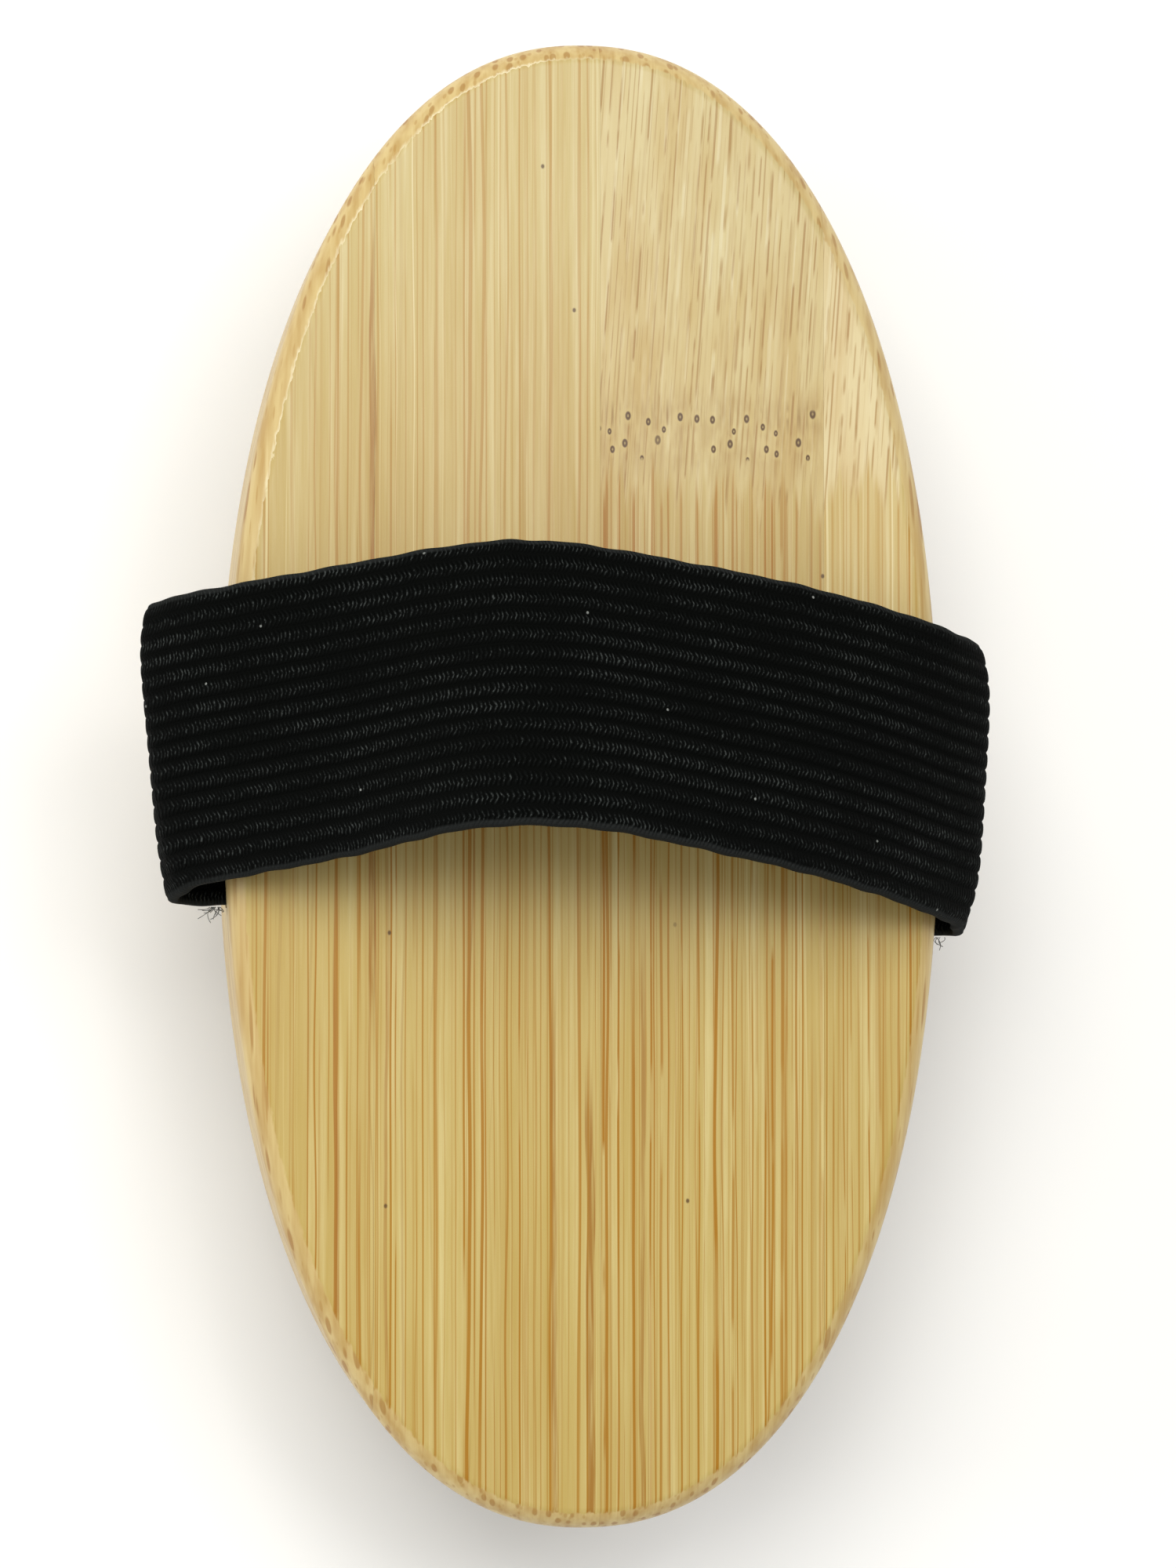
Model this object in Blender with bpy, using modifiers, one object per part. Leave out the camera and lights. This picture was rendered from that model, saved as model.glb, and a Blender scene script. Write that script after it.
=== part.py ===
"""Body dry brush: an oval bamboo block, tufts of bristle under it and an elastic hand strap over it.

Units are metres and +Z is up. The origin is on the bristle tips, under the middle of the block.
+Y runs along the block and +X across it. The brush comes apart as a bristle board with drilled
tuft holes, four bamboo strips glued on top of it, the strap, whose ends lie in slots cut in the
board's upper face, the tacks that hold those ends, and the tufts.
"""

import math

import bmesh
import bpy
from mathutils import Vector

# Fit
GAP = 0.0003  # between neighbouring pieces

# Block
BLOCK_LENGTH = 0.132
BLOCK_WIDTH = 0.064
OVAL_POWER = 2.2  # 2 would be a true ellipse
OUTLINE_POINTS = 72
BOARD_THICKNESS = 0.012
STRIP_THICKNESS = 0.005
STRIP_WIDTH = 0.0201
SEAM_OFFSET = 0.0011  # of the middle glue seam, to +X
EDGE_ROUND = 0.0016
EDGE_SEGMENTS = 3

# Bristles
BRISTLE_LENGTH = 0.018  # that shows under the board
TUFT_RADIUS = 0.0026
TUFT_HOLE_DEPTH = 0.0065
TUFT_MARGIN = 0.008  # from the block's side to the middle of the outer tufts
RING_PITCH = 0.0115  # from one oval ring of tufts to the next
RING_COUNTS = (24, 18)  # tufts in each ring, from the outer one
MIDDLE_COUNT = 7  # tufts in the row inside the rings
MIDDLE_INSET = 1.4  # ring pitches from the inner ring's end to the row's end
TUFT_TIP_GAP = 0.0010
TUFT_SIDES = 12
HOLE_SIDES = 16

# Strap
STRAP_WIDTH = 0.0254
STRAP_THICKNESS = 0.0014
SLOT_DEPTH = 0.0115  # in from the block's side
LEFT_SLOT_Y = 0.0019
RIGHT_SLOT_Y = -0.0009
LEFT_BOW = 0.0061  # how far the strap stands out past the block's side
RIGHT_BOW = 0.0032
LEFT_TWIST = math.radians(11)  # turns the fold, as in a band that leaves askew
RIGHT_TWIST = math.radians(-6.5)
SHOULDER_LIFT = 0.0022  # over the block's top at its side
CROWN_HEIGHT = 0.0168
CROWN_X = -0.008
CROWN_SHIFT = 0.0077  # the strap flops over towards +Y
LEFT_FLOP = 1.35  # more than 1 keeps the flop for the upper part of the rise
RIGHT_FLOP = 1.7
CROWN_ROLL = math.radians(15)
SKEW_FROM = 0.2  # of the strap's length lies straight before it runs from slot to slot
STRAP_STEPS = 52
STRAP_ROWS = 4

# Tacks
TACK_INSET = 0.0055  # from the block's side
TACK_SPACING = 0.016
TACK_SHANK_RADIUS = 0.0006
TACK_HEAD_RADIUS = 0.0014
TACK_HEAD_THICKNESS = 0.0004
TACK_TIP = 0.0012
TACK_SIDES = 12

# Levels, from the bristle tips up
BOARD_BOTTOM = BRISTLE_LENGTH
BOARD_TOP = BOARD_BOTTOM + BOARD_THICKNESS
STRIP_BOTTOM = BOARD_TOP + GAP
BLOCK_TOP = STRIP_BOTTOM + STRIP_THICKNESS
TUFT_ROOT = BOARD_BOTTOM + TUFT_HOLE_DEPTH
SLOT_FLOOR = BOARD_TOP - STRAP_THICKNESS - 2 * GAP
STRAP_LEVEL = SLOT_FLOOR + GAP + STRAP_THICKNESS / 2

# Distances from the middle
HALF_LENGTH = BLOCK_LENGTH / 2
HALF_WIDTH = BLOCK_WIDTH / 2

BAMBOO = ("#DEC896", 0.42, 0.0)
BRISTLE = ("#E4D4AE", 0.6, 0.0)
ELASTIC = ("#121314", 0.85, 0.0)
STEEL = ("#A9ABAC", 0.35, 1.0)

OVERSHOOT = 0.004  # of a cutter past the face that it opens


# Scene -----------------------------------------------------------------------------------------


def clear_scene():
    for obj in list(bpy.data.objects):
        bpy.data.objects.remove(obj, do_unlink=True)


def add_collection(name):
    collection = bpy.data.collections.new(name)
    bpy.context.scene.collection.children.link(collection)
    return collection


def linear(channel):
    return channel / 12.92 if channel <= 0.04045 else ((channel + 0.055) / 1.055) ** 2.4


def add_material(name, finish):
    colour, roughness, metallic = finish
    channels = [linear(int(colour[i : i + 2], 16) / 255) for i in (1, 3, 5)]
    material = bpy.data.materials.new(name)
    material.use_nodes = True
    shader = material.node_tree.nodes["Principled BSDF"]
    shader.inputs["Base Color"].default_value = (*channels, 1.0)
    shader.inputs["Roughness"].default_value = roughness
    shader.inputs["Metallic"].default_value = metallic
    return material


def add_part(name, mesh, finish, smooth=True):
    obj = bpy.data.objects.new(name, mesh)
    obj.data.materials.append(add_material(name + "_finish", finish))
    parts.objects.link(obj)
    if smooth:
        mesh.shade_smooth()
        mesh.set_sharp_from_angle(angle=math.radians(35))
    return obj


def add_cutter(name, mesh):
    obj = bpy.data.objects.new(name, mesh)
    cutters.objects.link(obj)
    obj.hide_render = True
    obj.display_type = "WIRE"
    return obj


def cut(obj, cutter, operation="DIFFERENCE"):
    boolean = obj.modifiers.new(cutter.name, "BOOLEAN")
    boolean.operation = operation
    boolean.object = cutter
    boolean.solver = "EXACT"


def mesh_from(bm, name):
    bmesh.ops.recalc_face_normals(bm, faces=bm.faces)
    mesh = bpy.data.meshes.new(name)
    bm.to_mesh(mesh)
    bm.free()
    return mesh


# Shared shapes ---------------------------------------------------------------------------------


def oval_point(angle, inset=0.0):
    """A point of the block's outline, which is a little squarer than an ellipse, or inside it."""
    power = 2 / OVAL_POWER
    x = math.copysign(abs(math.cos(angle)) ** power, math.cos(angle))
    y = math.copysign(abs(math.sin(angle)) ** power, math.sin(angle))
    return Vector((x * (HALF_WIDTH - inset), y * (HALF_LENGTH - inset), 0))


def oval_plate(name, bottom, top, round_top):
    """A plate with the block's outline and one rounded rim, the upper or the lower one."""
    bm = bmesh.new()
    bmesh.ops.create_circle(bm, cap_ends=True, radius=1, segments=OUTLINE_POINTS)
    for vertex in bm.verts:
        angle = math.atan2(vertex.co.y, vertex.co.x)
        vertex.co = oval_point(angle) + Vector((0, 0, bottom))
    lifted = bmesh.ops.extrude_face_region(bm, geom=bm.faces[:])["geom"]
    upper = [v for v in lifted if isinstance(v, bmesh.types.BMVert)]
    bmesh.ops.translate(bm, verts=upper, vec=(0, 0, top - bottom))
    level = top if round_top else bottom
    rim = [e for e in bm.edges if all(abs(v.co.z - level) < GAP for v in e.verts)]
    bmesh.ops.bevel(
        bm, geom=rim, offset=EDGE_ROUND, segments=EDGE_SEGMENTS, profile=0.5, affect="EDGES"
    )
    return mesh_from(bm, name)


def box(name, low, high):
    bm = bmesh.new()
    bmesh.ops.create_cube(bm, size=1)
    low, high = Vector(low), Vector(high)
    bmesh.ops.scale(bm, verts=bm.verts, vec=high - low)
    bmesh.ops.translate(bm, verts=bm.verts, vec=(low + high) / 2)
    return mesh_from(bm, name)


def rods(name, places, radius, bottom, top, sides):
    """Upright cylinders of one size, one at each place."""
    bm = bmesh.new()
    for place in places:
        made = bmesh.ops.create_cone(
            bm,
            cap_ends=True,
            segments=sides,
            radius1=radius,
            radius2=radius,
            depth=top - bottom,
        )
        bmesh.ops.translate(bm, verts=made["verts"], vec=(place[0], place[1], (bottom + top) / 2))
    return mesh_from(bm, name)


def turned(name, profile, sides, finish, place):
    """A turned piece. The profile is (radius, z) from top to bottom along the outer side."""
    mesh = bpy.data.meshes.new(name)
    points = [(radius, 0, z) for radius, z in profile]
    mesh.from_pydata(points, [(i, i + 1) for i in range(len(points) - 1)], [])
    obj = add_part(name, mesh, finish, smooth=False)
    screw = obj.modifiers.new("turn", "SCREW")
    screw.axis = "Z"
    screw.steps = sides
    screw.render_steps = sides
    screw.use_merge_vertices = True
    screw.merge_threshold = 0.00001
    screw.use_smooth_shade = True
    obj.location = (place[0], place[1], 0)
    return obj


# Block -----------------------------------------------------------------------------------------


def slot_y(side):
    return LEFT_SLOT_Y if side < 0 else RIGHT_SLOT_Y


def tack_places():
    x = HALF_WIDTH - TACK_INSET
    return [
        (side * x, slot_y(side) + end * TACK_SPACING / 2) for side in (-1, 1) for end in (-1, 1)
    ]


def ring_places(inset, count, first):
    """Places spaced evenly along an oval inside the outline, first pitches round from +X."""
    fine = 1440
    ring = [oval_point(2 * math.pi * k / fine, inset) for k in range(fine + 1)]
    walked = [0.0]
    for k in range(1, fine + 1):
        walked.append(walked[-1] + (ring[k] - ring[k - 1]).length)
    places, k = [], 0
    for number in range(count):
        while walked[k] < walked[-1] * (number + first) / count:
            k += 1
        places.append((ring[k].x, ring[k].y))
    return places


def tuft_places():
    """Oval rings of tufts that follow the block's outline, and a row along the middle."""
    places = []
    for number, count in enumerate(RING_COUNTS):
        places += ring_places(TUFT_MARGIN + number * RING_PITCH, count, 0.5 * (number % 2))
    inner_ring = TUFT_MARGIN + (len(RING_COUNTS) - 1) * RING_PITCH
    reach = HALF_LENGTH - inner_ring - MIDDLE_INSET * RING_PITCH
    steps = MIDDLE_COUNT - 1
    places += [(0.0, reach * (2 * i / steps - 1)) for i in range(MIDDLE_COUNT)]
    return places


def tip_radius(places):
    """The flare at which the tufts nearest each other keep a narrow gap between their tips."""
    nearest = min(math.dist(a, b) for i, a in enumerate(places) for b in places[:i])
    return (nearest - TUFT_TIP_GAP) / 2


def add_board(tufts, tacks):
    board = add_part(
        "bristle_board", oval_plate("bristle_board", BOARD_BOTTOM, BOARD_TOP, False), BAMBOO
    )
    holes = rods(
        "tuft_holes",
        tufts,
        TUFT_RADIUS + GAP,
        BOARD_BOTTOM - OVERSHOOT,
        TUFT_ROOT + GAP,
        HOLE_SIDES,
    )
    cut(board, add_cutter("tuft_holes", holes))
    for side, name in ((-1, "left_slot"), (1, "right_slot")):
        inner = side * (HALF_WIDTH - SLOT_DEPTH)
        outer = side * (HALF_WIDTH + OVERSHOOT)
        reach = STRAP_WIDTH / 2 + GAP
        low = (min(inner, outer), slot_y(side) - reach, SLOT_FLOOR)
        high = (max(inner, outer), slot_y(side) + reach, BOARD_TOP + OVERSHOOT)
        cut(board, add_cutter(name, box(name, low, high)))
    pilots = rods(
        "tack_holes",
        tacks,
        TACK_SHANK_RADIUS + GAP,
        tack_point() - GAP,
        BOARD_TOP + OVERSHOOT,
        TACK_SIDES,
    )
    cut(board, add_cutter("tack_holes", pilots))
    return board


def add_strips(tacks):
    """The four strips of the top layer, from -X to +X, with pockets over the tack heads."""
    seams = [SEAM_OFFSET + i * STRIP_WIDTH for i in (-1, 0, 1)]
    edges = [-HALF_WIDTH - OVERSHOOT, *seams, HALF_WIDTH + OVERSHOOT]
    head_top = STRAP_LEVEL + STRAP_THICKNESS / 2 + GAP + TACK_HEAD_THICKNESS
    for i in range(len(edges) - 1):
        name = f"bamboo_strip_{i + 1}"
        plate = oval_plate(name, STRIP_BOTTOM, BLOCK_TOP, True)
        strip = add_part(name, plate, BAMBOO)
        low = (edges[i] + GAP / 2, -BLOCK_LENGTH, 0)
        high = (edges[i + 1] - GAP / 2, BLOCK_LENGTH, 2 * BLOCK_TOP)
        cut(strip, add_cutter(name + "_sides", box(name + "_sides", low, high)), "INTERSECT")
        pocket = TACK_HEAD_RADIUS + GAP
        under = [p for p in tacks if edges[i] - pocket < p[0] < edges[i + 1] + pocket]
        if under:
            pockets = rods(
                name + "_pockets",
                under,
                pocket,
                STRIP_BOTTOM - OVERSHOOT,
                head_top + GAP,
                TACK_SIDES,
            )
            cut(strip, add_cutter(name + "_pockets", pockets))


# Strap -----------------------------------------------------------------------------------------


def side_points(side, bow):
    """The strap's path from its end in the slot to where it comes over the block's side."""
    low = STRAP_LEVEL
    rise = BLOCK_TOP + SHOULDER_LIFT - low
    inner = HALF_WIDTH - SLOT_DEPTH + GAP
    return [
        (side * inner, low),
        (side * (HALF_WIDTH + inner) / 2, low),
        (side * (HALF_WIDTH - GAP), low),
        (side * (HALF_WIDTH + 0.1 * bow), low),
        (side * (HALF_WIDTH + 0.75 * bow), low + 0.13 * rise),
        (side * (HALF_WIDTH + bow), low + 0.5 * rise),
        (side * (HALF_WIDTH + 0.68 * bow), low + 0.88 * rise),
    ]


def path_points():
    """The strap's middle line, as (x, z), from its left end to its right end."""
    left = side_points(-1, LEFT_BOW)
    right = side_points(1, RIGHT_BOW)
    arch = [
        (CROWN_X - 0.66 * (HALF_WIDTH + CROWN_X), BLOCK_TOP + 0.54 * CROWN_HEIGHT),
        (CROWN_X, BLOCK_TOP + CROWN_HEIGHT),
        (CROWN_X + 0.48 * (HALF_WIDTH - CROWN_X), BLOCK_TOP + 0.80 * CROWN_HEIGHT),
        (CROWN_X + 0.82 * (HALF_WIDTH - CROWN_X), BLOCK_TOP + 0.48 * CROWN_HEIGHT),
    ]
    return [Vector((x, 0, z)) for x, z in left + arch + right[::-1]]


def smooth_path(points, steps):
    """Points evenly spaced along a smooth curve through the given ones."""
    fine = 24
    dense = []
    for i in range(len(points) - 1):
        before = points[max(i - 1, 0)]
        start, end = points[i], points[i + 1]
        after = points[min(i + 2, len(points) - 1)]
        for k in range(fine):
            t = k / fine
            leave, reach = (end - before) / 2, (after - start) / 2
            dense.append(
                (2 * t**3 - 3 * t**2 + 1) * start
                + (t**3 - 2 * t**2 + t) * leave
                + (3 * t**2 - 2 * t**3) * end
                + (t**3 - t**2) * reach
            )
    dense.append(points[-1])
    walked = [0.0]
    for i in range(1, len(dense)):
        walked.append(walked[-1] + (dense[i] - dense[i - 1]).length)
    even, i = [], 0
    for k in range(steps + 1):
        wanted = walked[-1] * k / steps
        while i < len(dense) - 2 and walked[i + 1] < wanted:
            i += 1
        share = (wanted - walked[i]) / (walked[i + 1] - walked[i])
        even.append(dense[i].lerp(dense[i + 1], share))
    return even


def strap_point(path, index, across):
    """A point of the strap's middle surface, across metres from its middle line."""
    here = path[index]
    along = path[min(index + 1, len(path) - 1)] - path[max(index - 1, 0)]
    normal = Vector((-along.z, 0, along.x)).normalized()
    lift = (here.z - STRAP_LEVEL) / (BLOCK_TOP + CROWN_HEIGHT - STRAP_LEVEL)
    lift = min(max(lift, 0.0), 1.0)
    crossed = min(max((index / STRAP_STEPS - SKEW_FROM) / (1 - 2 * SKEW_FROM), 0.0), 1.0)
    flop, twist = (LEFT_FLOP, LEFT_TWIST) if here.x < CROWN_X else (RIGHT_FLOP, RIGHT_TWIST)
    y = LEFT_SLOT_Y + crossed * (RIGHT_SLOT_Y - LEFT_SLOT_Y) + CROWN_SHIFT * lift**flop
    roll = CROWN_ROLL * lift**2
    twist *= math.sin(math.pi * lift)
    level = Vector((-math.sin(twist), math.cos(twist), 0))
    spread = level * math.cos(roll) - normal * math.sin(roll)
    return here + Vector((0, y, 0)) + spread * across


def add_strap(tacks):
    path = smooth_path(path_points(), STRAP_STEPS)
    bm = bmesh.new()
    bmesh.ops.create_grid(bm, x_segments=STRAP_STEPS, y_segments=STRAP_ROWS, size=0.5)
    for vertex in bm.verts:
        index = round((vertex.co.x + 0.5) * STRAP_STEPS)
        vertex.co = strap_point(path, index, vertex.co.y * STRAP_WIDTH)
    mesh = mesh_from(bm, "elastic_strap")
    strap = add_part("elastic_strap", mesh, ELASTIC)
    solid = strap.modifiers.new("thickness", "SOLIDIFY")
    solid.thickness = STRAP_THICKNESS
    solid.offset = 0
    pierced = rods(
        "strap_holes",
        tacks,
        TACK_SHANK_RADIUS + GAP,
        SLOT_FLOOR - OVERSHOOT / 4,
        BOARD_TOP + OVERSHOOT / 4,
        TACK_SIDES,
    )
    cut(strap, add_cutter("strap_holes", pierced))


# Tacks and tufts -------------------------------------------------------------------------------


def tack_point():
    """The level of a tack's point, in the web between a slot and the tuft holes."""
    web = SLOT_FLOOR - (TUFT_ROOT + GAP)
    return SLOT_FLOOR - 0.8 * web


def add_tack(name, place):
    seat = STRAP_LEVEL + STRAP_THICKNESS / 2 + GAP
    point = tack_point()
    profile = [
        (0, seat + TACK_HEAD_THICKNESS),
        (TACK_HEAD_RADIUS, seat + TACK_HEAD_THICKNESS),
        (TACK_HEAD_RADIUS, seat),
        (TACK_SHANK_RADIUS, seat),
        (TACK_SHANK_RADIUS, point + TACK_TIP),
        (0, point),
    ]
    turned(name, profile, TACK_SIDES, STEEL, place)


def add_tuft(name, place, tip):
    """A tuft that is packed tight in its hole and flares to a flat trimmed tip."""
    flare = tip - TUFT_RADIUS
    profile = [
        (0, TUFT_ROOT),
        (TUFT_RADIUS, TUFT_ROOT),
        (TUFT_RADIUS, BOARD_BOTTOM),
        (TUFT_RADIUS + 0.42 * flare, BRISTLE_LENGTH / 2),
        (tip, 0),
        (0, 0),
    ]
    turned(name, profile, TUFT_SIDES, BRISTLE, place)


def build():
    tufts, tacks = tuft_places(), tack_places()
    add_board(tufts, tacks)
    add_strips(tacks)
    add_strap(tacks)
    sides = ("left_rear", "left_front", "right_rear", "right_front")
    for side, place in zip(sides, tacks, strict=True):
        add_tack(f"strap_tack_{side}", place)
    tip = tip_radius(tufts)
    for number, place in enumerate(tufts, 1):
        add_tuft(f"bristle_tuft_{number:02d}", place, tip)


clear_scene()
parts = add_collection("body_dry_brush")
cutters = add_collection("cutters")
build()
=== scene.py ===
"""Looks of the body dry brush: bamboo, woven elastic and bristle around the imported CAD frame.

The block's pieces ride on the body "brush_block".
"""

import logging
import math
import random
from collections.abc import Callable
from dataclasses import dataclass
from enum import Enum

import bmesh
import bpy
import numpy as np
from mathutils import Matrix, Vector

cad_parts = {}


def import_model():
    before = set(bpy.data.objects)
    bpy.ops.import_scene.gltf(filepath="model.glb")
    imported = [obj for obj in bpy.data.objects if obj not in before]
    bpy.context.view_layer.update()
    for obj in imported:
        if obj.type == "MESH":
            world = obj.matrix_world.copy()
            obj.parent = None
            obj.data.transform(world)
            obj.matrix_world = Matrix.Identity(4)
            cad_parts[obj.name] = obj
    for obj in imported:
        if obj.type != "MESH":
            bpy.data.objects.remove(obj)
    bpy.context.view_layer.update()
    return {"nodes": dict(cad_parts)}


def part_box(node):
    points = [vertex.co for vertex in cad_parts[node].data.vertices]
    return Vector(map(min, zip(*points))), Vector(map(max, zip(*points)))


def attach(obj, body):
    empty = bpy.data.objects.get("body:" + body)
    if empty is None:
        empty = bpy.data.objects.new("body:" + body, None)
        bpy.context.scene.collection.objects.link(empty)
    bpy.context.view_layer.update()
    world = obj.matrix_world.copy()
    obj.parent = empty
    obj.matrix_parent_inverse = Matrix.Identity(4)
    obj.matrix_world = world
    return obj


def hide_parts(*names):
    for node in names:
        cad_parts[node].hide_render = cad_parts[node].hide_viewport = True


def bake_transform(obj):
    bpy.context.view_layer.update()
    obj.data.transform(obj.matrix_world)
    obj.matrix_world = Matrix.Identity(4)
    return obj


log = logging.getLogger("body_dry_brush")
MM = 0.001
BLOCK_BODY = "brush_block"
BOARD = "bristle_board"
STRAP = "elastic_strap"
STRIPS = tuple(f"bamboo_strip_{number}" for number in range(1, 5))
STRAP_UV = "strap_uv"

Tree = bpy.types.NodeTree
Socket = bpy.types.NodeSocket
Number = Socket | float
Colour = tuple[float, float, float, float]
Triple = tuple[float, float, float]


class Grain(Enum):
    """How a bamboo strip was laid, which decides what its face shows."""

    SAWN_EDGE = "long straight fibres"
    PRESSED_FACE = "short slanting fibres with a node across them"


class Cut(Enum):
    """What a boolean tool does to a piece."""

    KEEP_INSIDE = "INTERSECT"
    TAKE_AWAY = "DIFFERENCE"


# Shader nodes ------------------------------------------------------------------------------------


def linear(hex_colour: str) -> Colour:
    """Turns an sRGB hex colour into the linear colour that a shader takes.

    Args:
        hex_colour: the colour, such as "#DEC896".

    Returns:
        Linear red, green and blue, and an alpha of 1.
    """
    channels = [int(hex_colour[i : i + 2], 16) / 255 for i in (1, 3, 5)]
    curved = [c / 12.92 if c <= 0.04045 else ((c + 0.055) / 1.055) ** 2.4 for c in channels]
    return (*curved, 1.0)


def add_node(
    tree: Tree, kind: str, inputs: dict | tuple = (), stops: tuple = (), **settings: object
) -> bpy.types.bpy_prop_collection:
    """Adds a shader node with its settings, its input values and its links.

    Args:
        tree: the material's node tree.
        kind: the node's type without its prefix, such as "TexNoise".
        inputs: values or feeding sockets, in the inputs' order or by their names or numbers.
        stops: the (position, value) stops of a colour ramp, a value being a number or a colour.
        **settings: the node's own properties.

    Returns:
        The new node's outputs.
    """
    node = tree.nodes.new(f"ShaderNode{kind}")
    for name, value in settings.items():
        setattr(node, name, value)
    given = inputs if isinstance(inputs, dict) else dict(enumerate(inputs))
    for key, value in given.items():
        if isinstance(value, Socket):
            tree.links.new(value, node.inputs[key])
        else:
            node.inputs[key].default_value = value
    for i, (position, value) in enumerate(stops):
        ramp = node.color_ramp.elements
        stop = ramp[i] if i < 2 else ramp.new(position)
        stop.position = position
        stop.color = value if isinstance(value, tuple) else (value, value, value, 1.0)
    return node.outputs


def new_material(name: str) -> tuple[bpy.types.Material, Tree, bpy.types.Node]:
    """Makes a material.

    Args:
        name: what the real material is.

    Returns:
        The material, its node tree and its Principled shader.
    """
    material = bpy.data.materials.new(name)
    material.use_nodes = True
    tree = material.node_tree
    return material, tree, tree.nodes["Principled BSDF"]


def lay_over(
    tree: Tree, under: Socket | str, over: Socket | str, *shares: Number, blend: str = "MIX"
) -> Socket:
    """Lays a colour over another, as strongly as the product of its shares.

    Args:
        tree: the material's node tree.
        under: the colour below, as a socket or an sRGB hex colour.
        over: the colour on top, likewise.
        *shares: how much of it shows, each from 0 to 1.
        blend: how the two mix, such as "MULTIPLY".

    Returns:
        The socket of the mixed colour.
    """
    share = shares[0]
    for other in shares[1:]:
        share = add_node(tree, "Math", (share, other), operation="MULTIPLY")[0]
    low, high = (linear(shade) if isinstance(shade, str) else shade for shade in (under, over))
    mixed = add_node(
        tree, "Mix", {0: share, 6: low, 7: high}, data_type="RGBA", blend_type=blend
    )
    return mixed[2]


def scatter(
    tree: Tree,
    place: Socket,
    scale: Triple,
    shift: Triple = (0.0, 0.0, 0.0),
    randomness: float = 1.0,
    space: str = "2D",
) -> tuple[Socket, bpy.types.bpy_prop_collection]:
    """Scatters points, one to a cell, that dots, rings and specks are drawn round.

    Args:
        tree: the material's node tree.
        place: the socket with the place on the piece.
        scale: cells for each unit of place along each axis.
        shift: moves the pattern.
        randomness: how far a point strays from its cell's middle, from 0 to 1.
        space: "2D" for points on a face, "3D" for points in the solid.

    Returns:
        The distance to the nearest point, and three random numbers that belong to that point.
    """
    cells = add_node(tree, "Mapping", {"Vector": place, "Location": shift, "Scale": scale})[0]
    cell = add_node(
        tree,
        "TexVoronoi",
        {"Vector": cells, "Scale": 1.0, "Randomness": randomness},
        voronoi_dimensions=space,
    )
    return cell["Distance"], add_node(tree, "SeparateColor", (cell["Color"],))


# Finishes ----------------------------------------------------------------------------------------


@dataclass(frozen=True)
class Streak:
    """One dark fibre bundle that stands out from the rest, in millimetres on the block."""

    x: float
    width: float
    low: float
    high: float
    strength: float = 0.8
    colour: str = "#A06E10"


@dataclass(frozen=True)
class Fibres:
    """A layer of fibre bundles, drawn as thin lines along the strip.

    Attributes:
        pitch_mm: the mean distance from one line to the next.
        width_mm: the width of the widest line.
        run_mm: how far a line runs before it fades or returns.
        shown: the share of each line that shows, from 0 to 1.
        offset: moves the pattern, so that no two are alike.
        lean_deg: turns the lines about Z.
    """

    pitch_mm: float
    width_mm: float
    run_mm: float
    shown: float
    offset: float
    lean_deg: float = 0.0


# A cane's fibre bundles are 0.1 to 0.4 mm wide and lie 0.4 to 1.3 mm apart. The thinnest of them
# wouldn't show, so none of these layers is drawn with lines under 0.2 mm at their widest.
WIDE_BUNDLES = Fibres(1.25, 0.36, 60, 0.85, 3.1)
NARROW_BUNDLES = Fibres(0.50, 0.20, 35, 0.75, 29.7)
SHORT_BUNDLES = Fibres(0.72, 0.30, 12, 0.72, 71.3)
PALE_LINES = Fibres(1.3, 0.24, 50, 0.6, 57.2)
BROWN_LINES = Fibres(3.4, 0.3, 45, 0.6, 83.4)
PRESSED_LEAN_DEG = 4.0
PALE_DASHES = Fibres(0.7, 0.4, 6, 0.5, 61.1, PRESSED_LEAN_DEG)
BROWN_DASHES = (
    Fibres(0.45, 0.22, 4.0, 0.58, 9.2, PRESSED_LEAN_DEG),
    Fibres(0.62, 0.28, 5.5, 0.58, 47.5, PRESSED_LEAN_DEG),
)
NODE_TICKS = Fibres(0.45, 0.34, 2.4, 0.75, 19.4)


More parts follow.
